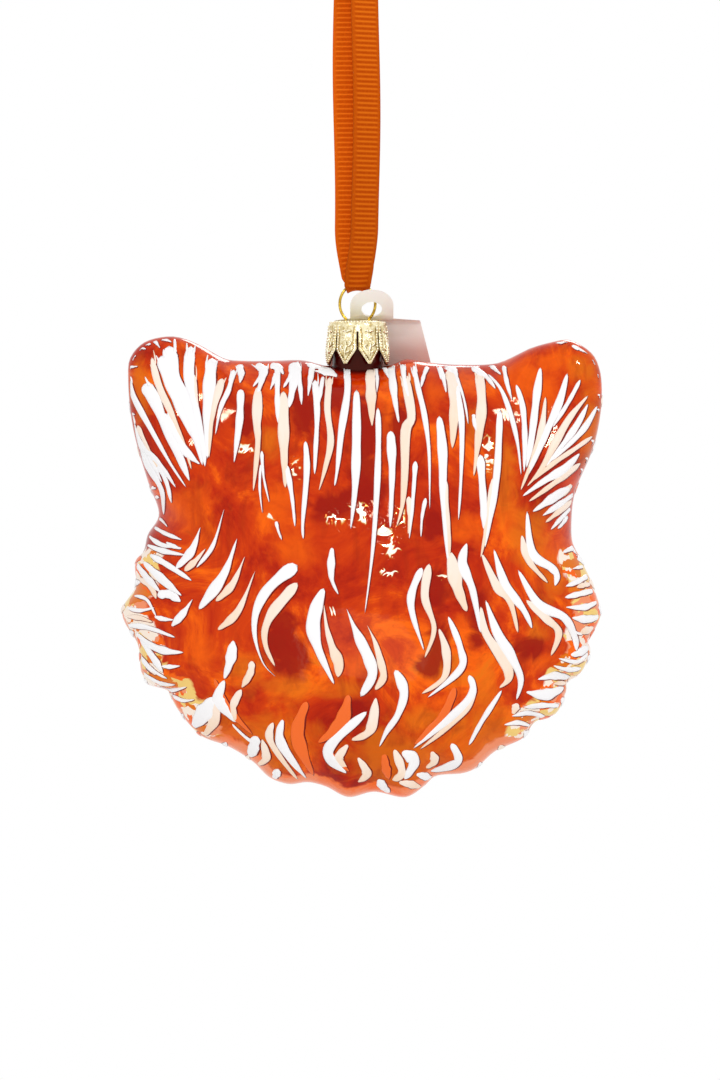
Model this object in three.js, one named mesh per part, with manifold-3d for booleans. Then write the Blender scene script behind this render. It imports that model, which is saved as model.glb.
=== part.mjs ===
// A blown glass cat's head ornament: hollow glass, crown cap, sprung wire hanger, hang tag and ribbon.
// Millimetres, +Z up. The origin is the point that the ribbon hangs from, under its knot.
// The painted back of the head looks along -Y and the cat's face along +Y.
import * as THREE from 'three';
import { mergeVertices } from 'three/addons/utils/BufferGeometryUtils.js';
import Module from 'manifold-3d';

const { lerp, smoothstep, degToRad } = THREE.MathUtils;

// Fits
const CLEARANCE = 0.3;
const PETAL_LIFT = 0.5;

// Ribbon and knot
const RIBBON_DROP = 70.2;
const RIBBON_WIDTH = 6.35;
const RIBBON_THICKNESS = 0.45;
const FOLD_WIDTH = 3;
const FOLD_RADIUS = 1;
const FOLD_TAPER = 5;
const FRONT_LEG_SHIFT = 1.25;
const REAR_LEG_SHIFT = -1.8;
const EYE_WIDTH = 3;
const EYE_TAPER = 9;
const KNOT_WIDTH = 9.5;
const KNOT_DEPTH = 7;
const KNOT_HEIGHT = 6.5;
const TAIL_LENGTH = 13;
const TAIL_SPREAD = 24;
const TAIL_TILT = 12;
const TAIL_NOTCH = 2.4;

// Wire hanger
const WIRE_DIAMETER = 0.6;
const LOOP_RADIUS = 3.7;
const LOOP_RISE = 4.1;
const LOOP_STAND = 3.65;
const LEG_SPACING = 4.8;
const SPRING_LENGTH = 19;
const SPRING_SWELL = [0.25, 0.6];
const SPRING_DRAW_IN = 0.85;

// Crown cap
const CAP_TOP_RADIUS = 6;
const CAP_RIM_RADIUS = 6.7;
const CAP_HEIGHT = 9;
const CAP_WALL = 0.45;
const CAP_SHOULDER = 1;
const PETALS = 8;
const SLIT_WIDTH = 0.4;
const SLIT_START = 2.4;
const POINT_HEIGHT = 3;
const POINT_BLUNT = 0.6;

// Hang tag
const TAG_THICKNESS = 0.4;
const TAG_LEAN = 45;
const TAG_HOLE_RISE = 2.6;
const TAG_HOLE_RADIUS = 2.15;
const TAG_HOLE_PLAY = 0.6;
const TAG_TAB_WIDTH = 9;
const TAG_TAB_REACH = 5.5;
const TAG_SHOULDER_WIDTH = 18;
const TAG_FOOT_WIDTH = 26;
const TAG_BODY_HEIGHT = 20;
const TAG_SHOULDER_SHIFT = 1.2;
const TAG_FOOT_SHIFT = 2.4;
const TAG_BEND = 0.9;

// Glass head
const HEAD_WIDTH = 100;
const HEAD_HEIGHT = 96;
const HEAD_SHIFT = 0.9;
const BACK_DEPTH = 21;
const FRONT_DEPTH = 17;
const GLASS_WALL = 1.2;
const NECK_WALL = 1;
const RIM_FULLNESS = 0.85;
const EAR_THINNING = 0.4;
const EAR_START = 0.5;
const EAR_ANGLE = 51.5;
const EAR_FOOT = 40;
const EAR_TIP = 62;
const TUFT_START = 0.76;
const TUFT_RELIEF = 0.06;
const TUFT_SPAN = 9;
const SKULL_WIDTH = 97;
const SKULL_HEIGHT = 89;

// The head's outline seen from the back, drawn on a grid 100 wide and 96 high, anticlockwise from the neck.
const GRID_WIDTH = 100;
const GRID_HEIGHT = 96;
const NECK_SEAT = [-1, 43.2];
const OUTLINE = {
  crownLeft: [NECK_SEAT, [-7.5, 43.5], [-12.3, 44.6], [-18.5, 44.5], [-24.5, 44.5]],
  earLeft: [[-28.5, 44.9], [-32.5, 47.1], [-36.6, 49], [-40, 49.6], [-45.4, 48.3], [-48.3, 45],
    [-48.7, 40.6], [-47.7, 30.6], [-44.6, 19.4], [-42.3, 12.3]],
  cheekLeft: [[-44.6, 8.3], [-45.4, 5], [-47.2, 2.3], [-47.1, -2.3], [-50, -7.3], [-49.4, -10],
    [-46.7, -14.5], [-45.8, -20.8], [-44.2, -23], [-40.5, -24.2], [-38.7, -27.6], [-34.2, -33.1]],
  chin: [[-31.9, -34.4], [-27.9, -35.8], [-22.7, -39], [-19.2, -42.3], [-15.2, -43.7], [-11.2, -43.3],
    [-7.5, -44.2], [-2.9, -46.4], [2.5, -45.3], [9.2, -46.4], [13.1, -44], [15.2, -42.1],
    [21.2, -41.4], [23.7, -40.4], [27.7, -36.9]],
  cheekRight: [[33.7, -34], [36, -30.8], [40.4, -29], [42.5, -24.6], [43, -22], [45.4, -20.7],
    [47.7, -15.8], [47.1, -14.2], [49.7, -8.7], [48.1, -2.3], [45, 4.4], [43.9, 6.7]],
  earRight: [[43.7, 11.5], [44.4, 17], [48.3, 26.6], [49.8, 34], [50, 39.4], [49.6, 42.5],
    [48.3, 45.6], [45.6, 47.8], [42.9, 48.9], [40, 48.5], [35, 47.1], [31.6, 45.4]],
  crownRight: [[28.1, 44], [19.6, 43.7], [13.5, 44.2], [9.2, 44.8], [5.6, 43.5]],
};

// The moulded face: each swelling or hollow is mirrored to both cheeks.
const FACE_RELIEF = [
  { name: 'whisker pad', at: [8.5, -15], size: [9.5, 8.5], rise: 6 },
  { name: 'nose', at: [0, -6], size: [4.6, 3.8], rise: 3.6 },
  { name: 'nose bridge', at: [0, 9], size: [6, 15], rise: 3.2 },
  { name: 'chin tuft', at: [0, -28], size: [7, 6], rise: 3 },
  { name: 'brow', at: [17, 18], size: [9, 5], rise: 2 },
  { name: 'eye', at: [18.5, 4.5], size: [6.2, 5.2], rise: 2.2 },
  { name: 'eye corner', at: [9.5, 1], size: [4, 4], rise: -2 },
  { name: 'cheek', at: [33, -13], size: [11, 12], rise: 2.4 },
  { name: 'ear hollow', at: [39.5, 33], size: [6, 10], rise: -6 },
];

// Facets
const OUTLINE_STEPS = 12;
const HEAD_COLUMNS = 108;
const OUTER_ROWS = 28;
const INNER_ROWS = 14;
const ROUND_SIDES = 64;
const SMALL_SIDES = 16;
const KNOT_SIDES = 28;
const KNOT_ROWS = 18;
const TAG_STEPS = 8;
const LOOP_STEPS = 14;
const WIRE_SIDES = 8;
const WIRE_STEPS = 64;

// Places worked out from the sizes above
const wireRadius = WIRE_DIAMETER / 2;
const loopInside = LOOP_RADIUS - wireRadius;
const foldSeat = (LOOP_RISE - wireRadius) * Math.sqrt(1 - (FOLD_WIDTH / 2 / loopInside) ** 2);
const loopZ = -RIBBON_DROP + CLEARANCE - foldSeat;
const capTopZ = loopZ - LOOP_STAND;
const capRimZ = capTopZ - CAP_HEIGHT;
const capUnderZ = capTopZ - CAP_WALL;
const neckTopZ = capTopZ - CAP_SHOULDER - CLEARANCE / 2;
const neckRadius = CAP_TOP_RADIUS - CAP_WALL - CLEARANCE;
const boreRadius = neckRadius - NECK_WALL;
const legX = LEG_SPACING / 2;
const springX = boreRadius - CLEARANCE - wireRadius;
const gridU = HEAD_WIDTH / GRID_WIDTH;
const gridV = HEAD_HEIGHT / GRID_HEIGHT;
const headX = HEAD_SHIFT;
const headZ = capRimZ - PETAL_LIFT - NECK_SEAT[1] * gridV;

const wasm = await Module();
wasm.setup();

// Merges a closed geometry's shared corners and makes it a solid for joining and cutting.
function solidOf(geometry) {
  const bare = geometry.clone();
  bare.deleteAttribute('normal');
  bare.deleteAttribute('uv');
  const merged = mergeVertices(bare);
  const vertProperties = new Float32Array(merged.attributes.position.array);
  const triVerts = new Uint32Array(merged.index.array);
  return new wasm.Manifold(new wasm.Mesh({ numProp: 3, vertProperties, triVerts }));
}

function geometryOf(solid) {
  const { vertProperties, triVerts } = solid.getMesh();
  const geometry = new THREE.BufferGeometry();
  geometry.setAttribute('position', new THREE.BufferAttribute(vertProperties, 3));
  geometry.setIndex(new THREE.BufferAttribute(triVerts, 1));
  geometry.computeVertexNormals();
  return geometry;
}

// A prism along Y whose shape is drawn in X and Z.
function prismAlongY(shape, fromY, toY) {
  const prism = new THREE.ExtrudeGeometry(shape, { depth: toY - fromY, bevelEnabled: false });
  prism.rotateX(Math.PI / 2);
  prism.translate(0, toY, 0);
  return solidOf(prism);
}

// A prism along X whose shape is drawn in Y and Z.
function prismAlongX(shape, fromX, toX) {
  const prism = new THREE.ExtrudeGeometry(shape, { depth: toX - fromX, bevelEnabled: false });
  prism.applyMatrix4(new THREE.Matrix4().makeBasis(
    new THREE.Vector3(0, 1, 0), new THREE.Vector3(0, 0, 1), new THREE.Vector3(1, 0, 0)));
  prism.translate(fromX, 0, 0);
  return solidOf(prism);
}

function cylinderAlongZ(radius, x, fromZ, toZ, sides) {
  const cylinder = new THREE.CylinderGeometry(radius, radius, toZ - fromZ, sides);
  cylinder.rotateX(Math.PI / 2);
  cylinder.translate(x, 0, (fromZ + toZ) / 2);
  return solidOf(cylinder);
}

function shapeThrough(points) {
  return new THREE.Shape(points.map(([a, b]) => new THREE.Vector2(a, b)));
}

// The two edges of a bent sheet, half a thickness to each side of its middle line.
function sheetShape(middle, thickness) {
  const sides = [[], []];
  middle.forEach((point, i) => {
    const before = middle[Math.max(i - 1, 0)];
    const after = middle[Math.min(i + 1, middle.length - 1)];
    const along = after.clone().sub(before).normalize();
    const across = new THREE.Vector2(-along.y, along.x).multiplyScalar(thickness / 2);
    sides[0].push(point.clone().add(across));
    sides[1].unshift(point.clone().sub(across));
  });
  return new THREE.Shape([...sides[0], ...sides[1]]);
}

// Outline radius about the head's centre, by angle, from a smooth closed curve through the outline.
const outlineTable = (() => {
  const corners = Object.values(OUTLINE).flat();
  const points = corners.map(([u, v]) => new THREE.Vector3(u * gridU, v * gridV, 0));
  const curve = new THREE.CatmullRomCurve3(points, true, 'centripetal');
  const samples = curve.getPoints(corners.length * OUTLINE_STEPS);
  const polar = samples.map((p) => ({ angle: Math.atan2(p.y, p.x), radius: Math.hypot(p.x, p.y) }));
  return polar.sort((a, b) => a.angle - b.angle);
})();

function outlineRadius(angle) {
  const turned = Math.atan2(Math.sin(angle), Math.cos(angle));
  const last = outlineTable.length - 1;
  const next = outlineTable.findIndex((sample) => sample.angle >= turned);
  const after = outlineTable[next < 0 ? 0 : next];
  const before = outlineTable[next <= 0 ? last : next - 1];
  const fullTurn = 2 * Math.PI;
  const span = (after.angle - before.angle + fullTurn) % fullTurn;
  const share = span > 0 ? ((turned - before.angle + fullTurn) % fullTurn) / span : 0;
  return lerp(before.radius, after.radius, share);
}

// The outline with its fur tufts smoothed away.
function softRadius(angle) {
  const offsets = [-1, -0.5, 0, 0.5, 1];
  const total = offsets.reduce((sum, k) => sum + outlineRadius(angle + degToRad(TUFT_SPAN) * k), 0);
  return total / offsets.length;
}

// How far a point lies into the ears, from 0 at their foot to 1 at their tip.
function earShare(u, v) {
  const across = Math.cos(degToRad(EAR_ANGLE)) * Math.abs(u) / gridU;
  const up = Math.sin(degToRad(EAR_ANGLE)) * v / gridV;
  return smoothstep(across + up, EAR_FOOT, EAR_TIP);
}

function faceRelief(u, v) {
  return FACE_RELIEF.reduce((sum, { at, size, rise }) => {
    const across = (Math.abs(u) / gridU - at[0]) / size[0];
    const up = (v / gridV - at[1]) / size[1];
    return sum + rise * Math.exp(-across * across - up * up);
  }, 0);
}

// The skull's own radius, an oval that leaves the ears and tufts out.
function skullRadius(angle) {
  const across = Math.cos(angle) / (SKULL_WIDTH / 2);
  const up = Math.sin(angle) / (SKULL_HEIGHT / 2);
  return 1 / Math.hypot(across, up);
}

// Where a direction from the head's centre meets the glass; inset moves inwards to the inner wall.
function headPoint(direction, inset) {
  const share = Math.min(1, Math.hypot(direction.x, direction.z));
  const angle = Math.atan2(direction.z, direction.x);
  const soft = softRadius(angle);
  const tuft = outlineRadius(angle) - soft;
  const outside = inset === 0;
  const tufted = outside ? tuft * smoothstep(share, TUFT_START, 1) : Math.min(tuft, 0);
  const edge = soft + tufted - inset;
  const u = share * edge * Math.cos(angle);
  const v = share * edge * Math.sin(angle);
  const reach = lerp(skullRadius(angle) - inset, edge, smoothstep(share, EAR_START, 1));
  const dome = Math.max(0, 1 - ((share * edge) / reach) ** 2) ** (RIM_FULLNESS / 2);
  const relief = faceRelief(u, v);
  const front = FRONT_DEPTH + (outside ? relief : Math.min(relief, relief / 2));
  const full = (direction.y > 0 ? front : BACK_DEPTH) * (1 - EAR_THINNING * earShare(u, v)) - inset;
  const fur = outside ? 1 + TUFT_RELIEF * tuft * smoothstep(share, TUFT_START, 1) : 1;
  const y = Math.sign(direction.y) * full * fur * dome;
  return new THREE.Vector3(headX + u, y, headZ + v);
}

function headSolid(rows, inset) {
  const ball = new THREE.SphereGeometry(1, HEAD_COLUMNS, rows);
  ball.deleteAttribute('normal');
  ball.deleteAttribute('uv');
  const skin = mergeVertices(ball);
  const place = skin.attributes.position;
  const direction = new THREE.Vector3();
  for (let i = 0; i < place.count; i += 1) {
    const point = headPoint(direction.fromBufferAttribute(place, i), inset);
    place.setXYZ(i, point.x, point.y, point.z);
  }
  return solidOf(skin);
}

function glassShell() {
  const boreFootZ = capRimZ - PETAL_LIFT - 2 * neckRadius;
  const neck = cylinderAlongZ(neckRadius, 0, boreFootZ + GLASS_WALL, neckTopZ, ROUND_SIDES / 2);
  const bore = cylinderAlongZ(boreRadius, 0, boreFootZ, neckTopZ + 1, ROUND_SIDES / 2);
  const outside = headSolid(OUTER_ROWS, 0);
  const inside = headSolid(INNER_ROWS, GLASS_WALL);
  return geometryOf(outside.add(neck).subtract(inside.add(bore)));
}

// A thin pressed cup whose skirt is slit into pointed petals, with two holes for the wire.
function crownCap() {
  const shoulder = [0, 30, 60, 90].map((degrees) => new THREE.Vector2(
    CAP_TOP_RADIUS - CAP_SHOULDER + CAP_SHOULDER * Math.sin(degToRad(degrees)),
    capTopZ - CAP_SHOULDER + CAP_SHOULDER * Math.cos(degToRad(degrees))));
  const profile = [
    new THREE.Vector2(0, capTopZ),
    ...shoulder,
    new THREE.Vector2(CAP_RIM_RADIUS, capRimZ),
    new THREE.Vector2(CAP_RIM_RADIUS - CAP_WALL, capRimZ),
    new THREE.Vector2(CAP_TOP_RADIUS - CAP_WALL, capTopZ - CAP_SHOULDER),
    new THREE.Vector2(CAP_TOP_RADIUS - CAP_SHOULDER, capUnderZ),
    new THREE.Vector2(0, capUnderZ),
  ].reverse();
  const cup = new THREE.LatheGeometry(profile, ROUND_SIDES);
  cup.rotateX(Math.PI / 2);
  let cap = solidOf(cup);
  const holeRadius = wireRadius + CLEARANCE;
  for (const x of [-legX, legX]) {
    cap = cap.subtract(cylinderAlongZ(holeRadius, x, capUnderZ - 1, capTopZ + 1, SMALL_SIDES));
  }
  const pitch = 2 * CAP_RIM_RADIUS * Math.sin(Math.PI / PETALS);
  const slit = SLIT_WIDTH / 2;
  const valley = (pitch - POINT_BLUNT) / 2;
  const pointZ = capRimZ + POINT_HEIGHT;
  const notch = shapeThrough([[-slit, capTopZ - SLIT_START], [-slit, pointZ], [-valley, capRimZ],
    [-valley, capRimZ - 1], [valley, capRimZ - 1], [valley, capRimZ], [slit, pointZ],
    [slit, capTopZ - SLIT_START]]);
  for (let petal = 0; petal < PETALS; petal += 1) {
    const cutter = prismAlongY(notch, CAP_TOP_RADIUS / 2, CAP_RIM_RADIUS * 2);
    cap = cap.subtract(cutter.rotate([0, 0, (360 * petal) / PETALS]));
  }
  return geometryOf(cap);
}

// One wire: down inside the neck, up through the cap, round the loop and back down.
function wireHanger() {
  const entry = Math.acos(legX / LOOP_RADIUS);
  const footZ = capTopZ - SPRING_LENGTH;
  const swell = SPRING_SWELL.map((share) => [springX, lerp(footZ, neckTopZ, share)]);
  const leg = [[springX - wireRadius, footZ], ...swell,
    [(legX + springX) / 2, lerp(footZ, neckTopZ, SPRING_DRAW_IN)],
    [legX, capUnderZ], [legX, capTopZ + wireRadius]];
  const arc = [];
  for (let i = 0; i <= LOOP_STEPS; i += 1) {
    const angle = lerp(-entry, Math.PI + entry, i / LOOP_STEPS);
    arc.push([LOOP_RADIUS * Math.cos(angle), loopZ + LOOP_RISE * Math.sin(angle)]);
  }
  const back = leg.map(([x, z]) => [-x, z]).reverse();
  const route = [...leg, ...arc, ...back].map(([x, z]) => new THREE.Vector3(x, 0, z));
  const path = new THREE.CatmullRomCurve3(route, false, 'centripetal');
  const section = new THREE.Shape();
  section.absarc(0, 0, wireRadius, 0, 2 * Math.PI);
  return new THREE.ExtrudeGeometry(section, {
    steps: WIRE_STEPS, curveSegments: WIRE_SIDES / 2, extrudePath: path, bevelEnabled: false,
  });
}

// The deepest the forehead reaches forward at a height, across the width of the tag.
function foreheadDepth(z, fromX, toX) {
  const v = z - headZ;
  if (v > NECK_SEAT[1] * gridV) {
    return 0;
  }
  const tries = Array.from({ length: TAG_STEPS + 1 }, (_, k) => {
    const u = lerp(fromX, toX, k / TAG_STEPS) - headX;
    const angle = Math.atan2(v, u);
    const share = Math.min(1, Math.hypot(u, v) / outlineRadius(angle));
    const across = share * Math.cos(angle);
    const up = share * Math.sin(angle);
    return headPoint(new THREE.Vector3(across, Math.sqrt(1 - share * share), up), 0).y;
  });
  return Math.max(...tries);
}

// A card tag threaded on the wire: its tab leans through the loop, its body hangs behind the cap.
function hangTag() {
  const holeZ = capTopZ + TAG_HOLE_RISE;
  const holeX = LOOP_RADIUS * Math.sqrt(1 - ((holeZ - loopZ) / LOOP_RISE) ** 2) - TAG_HOLE_PLAY;
  const lean = degToRad(TAG_LEAN);
  const half = TAG_THICKNESS / 2;
  const deckZ = capTopZ + CLEARANCE + half;
  const behindY = CAP_RIM_RADIUS + CLEARANCE + half;
  const footZ = deckZ - TAG_BODY_HEIGHT;
  const shoulderX = holeX + TAG_SHOULDER_SHIFT;
  const footX = holeX + TAG_FOOT_SHIFT;
  const footFrom = footX - TAG_FOOT_WIDTH / 2;
  const footTo = footX + TAG_FOOT_WIDTH / 2;
  const tabTop = [-TAG_TAB_REACH * Math.sin(lean), holeZ + TAG_TAB_REACH * Math.cos(lean)];
  const deckY = (holeZ - deckZ) * Math.tan(lean);
  const middle = [tabTop, [deckY - TAG_BEND, deckZ + TAG_BEND / Math.tan(lean)],
    [deckY + TAG_BEND, deckZ], [behindY - TAG_BEND, deckZ], [behindY, deckZ - TAG_BEND]];
  for (let i = 1; i <= TAG_STEPS; i += 1) {
    const z = lerp(deckZ - TAG_BEND, footZ, i / TAG_STEPS);
    const forehead = foreheadDepth(z, footFrom, footTo);
    const above = foreheadDepth(z + TAG_THICKNESS, footFrom, footTo);
    const slope = above > 0 ? (forehead - above) / TAG_THICKNESS : 0;
    const cushion = (CLEARANCE + half) * Math.hypot(1, slope);
    middle.push([Math.max(behindY, forehead + cushion), z]);
  }
  const bend = sheetShape(middle.map(([y, z]) => new THREE.Vector2(y, z)), TAG_THICKNESS);
  const sheet = prismAlongX(bend, footFrom - 1, footTo + 1);
  const tabHalf = TAG_TAB_WIDTH / 2;
  const shoulderHalf = TAG_SHOULDER_WIDTH / 2;
  const outline = new THREE.Shape();
  outline.moveTo(footTo, footZ - 1);
  outline.lineTo(shoulderX + shoulderHalf, deckZ - half);
  outline.lineTo(holeX + tabHalf, deckZ + half);
  const crownRise = tabTop[1] - Math.min(tabHalf, TAG_TAB_REACH) * Math.cos(lean);
  outline.lineTo(holeX + tabHalf, crownRise);
  outline.absellipse(holeX, crownRise, tabHalf, tabTop[1] - crownRise, 0, Math.PI);
  outline.lineTo(holeX - tabHalf, deckZ + half);
  outline.lineTo(shoulderX - shoulderHalf, deckZ - half);
  outline.lineTo(footFrom, footZ - 1);
  const card = sheet.intersect(prismAlongY(outline, tabTop[0] - 2, BACK_DEPTH + FRONT_DEPTH));
  const drillLength = 3 * TAG_HOLE_RADIUS;
  const drill = new THREE.CylinderGeometry(TAG_HOLE_RADIUS, TAG_HOLE_RADIUS, drillLength, 2 * SMALL_SIDES);
  drill.rotateX(lean);
  drill.translate(holeX, 0, holeZ);
  return geometryOf(card.subtract(solidOf(drill)));
}

// Half the gap between the ribbon's two legs at a height, from the fold up to the knot.
function legGap(z) {
  return FOLD_RADIUS * smoothstep(-z, RIBBON_THICKNESS, EYE_TAPER);
}

// One leg of the ribbon from the front: gathered at the fold and again under the knot.
function legOutline(shift) {
  const foldZ = -RIBBON_DROP - RIBBON_THICKNESS;
  const eye = EYE_WIDTH / 2;
  const rows = [[0, FOLD_WIDTH / 2, foldZ - 1], [0, FOLD_WIDTH / 2, foldZ + FOLD_RADIUS],
    [shift, RIBBON_WIDTH / 2, foldZ + FOLD_RADIUS + FOLD_TAPER], [shift, RIBBON_WIDTH / 2, -EYE_TAPER],
    [shift / 2, (RIBBON_WIDTH / 2 + eye) / 2, -EYE_TAPER / 2]];
  const right = rows.map(([x, half, z]) => [x + half, z]);
  const left = rows.map(([x, half, z]) => [x - half, z]).reverse();
  const crown = [0, 30, 60, 90, 120, 150, 180].map((degrees) => (
    [eye * Math.cos(degToRad(degrees)), eye * Math.sin(degToRad(degrees))]));
  return shapeThrough([...right, ...crown, ...left]);
}

// The hanging loop: down in front, through the wire loop and up behind.
function ribbonLoop() {
  const foldCentreZ = -RIBBON_DROP + FOLD_RADIUS;
  const outer = FOLD_RADIUS + RIBBON_THICKNESS;
  const heights = [-EYE_TAPER, -EYE_TAPER * 0.75, -EYE_TAPER / 2, -EYE_TAPER / 4];
  const side = new THREE.Shape();
  side.moveTo(outer, foldCentreZ);
  heights.forEach((z) => side.lineTo(legGap(z) + RIBBON_THICKNESS, z));
  side.lineTo(RIBBON_THICKNESS, EYE_WIDTH);
  side.lineTo(-RIBBON_THICKNESS, EYE_WIDTH);
  heights.toReversed().forEach((z) => side.lineTo(-legGap(z) - RIBBON_THICKNESS, z));
  side.absarc(0, foldCentreZ, outer, Math.PI, 2 * Math.PI);
  const inside = new THREE.Path();
  inside.moveTo(FOLD_RADIUS, foldCentreZ);
  heights.forEach((z) => inside.lineTo(legGap(z), z));
  heights.toReversed().forEach((z) => inside.lineTo(-legGap(z), z));
  inside.absarc(0, foldCentreZ, FOLD_RADIUS, Math.PI, 2 * Math.PI);
  side.holes.push(inside);
  const strip = prismAlongX(side, -RIBBON_WIDTH * 2, RIBBON_WIDTH * 2);
  const front = prismAlongY(legOutline(FRONT_LEG_SHIFT), -RIBBON_WIDTH, FOLD_RADIUS / 2);
  const rear = prismAlongY(legOutline(REAR_LEG_SHIFT), -FOLD_RADIUS / 2, RIBBON_WIDTH);
  return geometryOf(strip.intersect(front.add(rear)));
}

// The overhand knot above the eye, with the ribbon's two cut tails.
function ribbonKnot() {
  const underZ = EYE_WIDTH / 2 + CLEARANCE;
  const lump = new THREE.SphereGeometry(1, KNOT_SIDES, KNOT_ROWS);
  lump.scale(KNOT_WIDTH / 2, KNOT_DEPTH / 2, KNOT_HEIGHT / 2);
  lump.translate(0, 0, underZ + KNOT_HEIGHT / 2);
  let knot = solidOf(lump);
  const half = RIBBON_WIDTH / 2;
  const tail = shapeThrough([[-half, 0], [half, 0], [half, TAIL_LENGTH], [0, TAIL_LENGTH - TAIL_NOTCH],
    [-half, TAIL_LENGTH]]);
  for (const side of [-1, 1]) {
    const strip = prismAlongY(tail, -RIBBON_THICKNESS / 2, RIBBON_THICKNESS / 2);
    const turned = strip.rotate([-side * TAIL_TILT, side * TAIL_SPREAD, 0]);
    knot = knot.add(turned.translate([side, side * RIBBON_THICKNESS, underZ + KNOT_HEIGHT / 2]));
  }
  return geometryOf(knot);
}

const finishes = {
  glass: new THREE.MeshStandardMaterial({ color: 0xd9541e, roughness: 0.08, metalness: 0.1 }),
  goldCap: new THREE.MeshStandardMaterial({ color: 0xd8c48e, roughness: 0.3, metalness: 1 }),
  goldWire: new THREE.MeshStandardMaterial({ color: 0xc9a63c, roughness: 0.25, metalness: 1 }),
  card: new THREE.MeshStandardMaterial({ color: 0xe6d8cc, roughness: 0.6, metalness: 0 }),
  ribbon: new THREE.MeshStandardMaterial({ color: 0xd75a08, roughness: 0.7, metalness: 0 }),
};

function piece(name, geometry, finish) {
  const mesh = new THREE.Mesh(geometry, finish);
  mesh.name = name;
  return mesh;
}

const ornament = new THREE.Group();
ornament.add(
  piece('ribbon_knot', ribbonKnot(), finishes.ribbon),
  piece('ribbon_loop', ribbonLoop(), finishes.ribbon),
  piece('wire_hanger', wireHanger(), finishes.goldWire),
  piece('crown_cap', crownCap(), finishes.goldCap),
  piece('hang_tag', hangTag(), finishes.card),
  piece('glass_shell', glassShell(), finishes.glass),
);

export default ornament;
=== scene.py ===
import bisect
import math

import bmesh
import bpy
from bpy.props import FloatProperty, FloatVectorProperty, IntProperty, PointerProperty
from mathutils import Euler, Matrix, Vector, noise
from mathutils.bvhtree import BVHTree


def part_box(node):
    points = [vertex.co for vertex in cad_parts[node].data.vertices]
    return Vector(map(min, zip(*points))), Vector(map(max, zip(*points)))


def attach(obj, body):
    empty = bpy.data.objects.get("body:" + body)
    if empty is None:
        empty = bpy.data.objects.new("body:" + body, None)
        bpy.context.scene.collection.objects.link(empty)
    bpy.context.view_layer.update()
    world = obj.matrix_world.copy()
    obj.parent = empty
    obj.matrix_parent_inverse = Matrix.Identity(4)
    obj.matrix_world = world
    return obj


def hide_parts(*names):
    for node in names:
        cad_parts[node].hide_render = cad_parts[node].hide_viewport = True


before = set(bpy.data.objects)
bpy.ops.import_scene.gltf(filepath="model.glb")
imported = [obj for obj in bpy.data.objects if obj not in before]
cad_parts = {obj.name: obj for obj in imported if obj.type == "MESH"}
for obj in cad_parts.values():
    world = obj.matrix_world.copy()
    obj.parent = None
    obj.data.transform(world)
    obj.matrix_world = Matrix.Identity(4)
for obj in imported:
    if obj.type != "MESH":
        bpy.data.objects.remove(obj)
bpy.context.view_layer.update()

bl_info = {
    "name": "Glass Cat Ornament",
    "version": (1, 0, 0),
    "blender": (4, 5, 0),
    "location": "View3D > Sidebar > Ornament",
    "description": "Dresses a blown glass cat's head with lacquer, enamel fur, gilt cap, wire, tag and ribbon",
    "category": "Add Mesh",
}

MM = 0.001
MERGE = 0.001 * MM

# The head's outline seen from the back, in millimetres about its centre, anticlockwise from the neck
OUTLINE = {
    "crown left": ((-1, 43.2), (-7.5, 43.5), (-12.3, 44.6), (-18.5, 44.5), (-24.5, 44.5)),
    "ear left": ((-28.5, 44.9), (-32.5, 47.1), (-36.6, 49), (-40, 49.6), (-45.4, 48.3), (-48.3, 45),
                 (-48.7, 40.6), (-47.7, 30.6), (-44.6, 19.4), (-42.3, 12.3)),
    "cheek left": ((-44.6, 8.3), (-45.4, 5), (-47.2, 2.3), (-47.1, -2.3), (-50, -7.3), (-49.4, -10),
                   (-46.7, -14.5), (-45.8, -20.8), (-44.2, -23), (-40.5, -24.2), (-38.7, -27.6),
                   (-34.2, -33.1)),
    "chin": ((-31.9, -34.4), (-27.9, -35.8), (-22.7, -39), (-19.2, -42.3), (-15.2, -43.7), (-11.2, -43.3),
             (-7.5, -44.2), (-2.9, -46.4), (2.5, -45.3), (9.2, -46.4), (13.1, -44), (15.2, -42.1),
             (21.2, -41.4), (23.7, -40.4), (27.7, -36.9)),
    "cheek right": ((33.7, -34), (36, -30.8), (40.4, -29), (42.5, -24.6), (43, -22), (45.4, -20.7),
                    (47.7, -15.8), (47.1, -14.2), (49.7, -8.7), (48.1, -2.3), (45, 4.4), (43.9, 6.7)),
    "ear right": ((43.7, 11.5), (44.4, 17), (48.3, 26.6), (49.8, 34), (50, 39.4), (49.6, 42.5),
                  (48.3, 45.6), (45.6, 47.8), (42.9, 48.9), (40, 48.5), (35, 47.1), (31.6, 45.4)),
    "crown right": ((28.1, 44), (19.6, 43.7), (13.5, 44.2), (9.2, 44.8), (5.6, 43.5)),
}
OUTLINE_STEPS = 12
OUTLINE_TURNS = 1440

# The moulded face, mirrored to both cheeks: place, spread and rise in millimetres
FACE_RELIEF = {
    "whisker pad": ((8.5, -15), (9.5, 8.5), 6),
    "nose": ((0, -6), (4.6, 3.8), 3.6),
    "nose bridge": ((0, 9), (6, 15), 3.2),
    "chin tuft": ((0, -28), (7, 6), 3),
    "brow": ((17, 18), (9, 5), 2),
    "eye": ((18.5, 4.5), (6.2, 5.2), 2.2),
    "eye corner": ((9.5, 1), (4, 4), -2),
    "cheek": ((33, -13), (11, 12), 2.4),
    "ear hollow": ((39.5, 33), (6, 10), -6),
}

# How the skull swells, where the ears begin and thin, and where the tufts stand out
RIM_FULLNESS = 0.85
EAR_THINNING = 0.4
EAR_START = 0.5
EAR_ANGLE = math.radians(51.5)
EAR_FOOT = 40
EAR_TIP = 62
TUFT_START = 0.76
TUFT_RELIEF = 0.06
TUFT_SPAN = math.radians(9)

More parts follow.
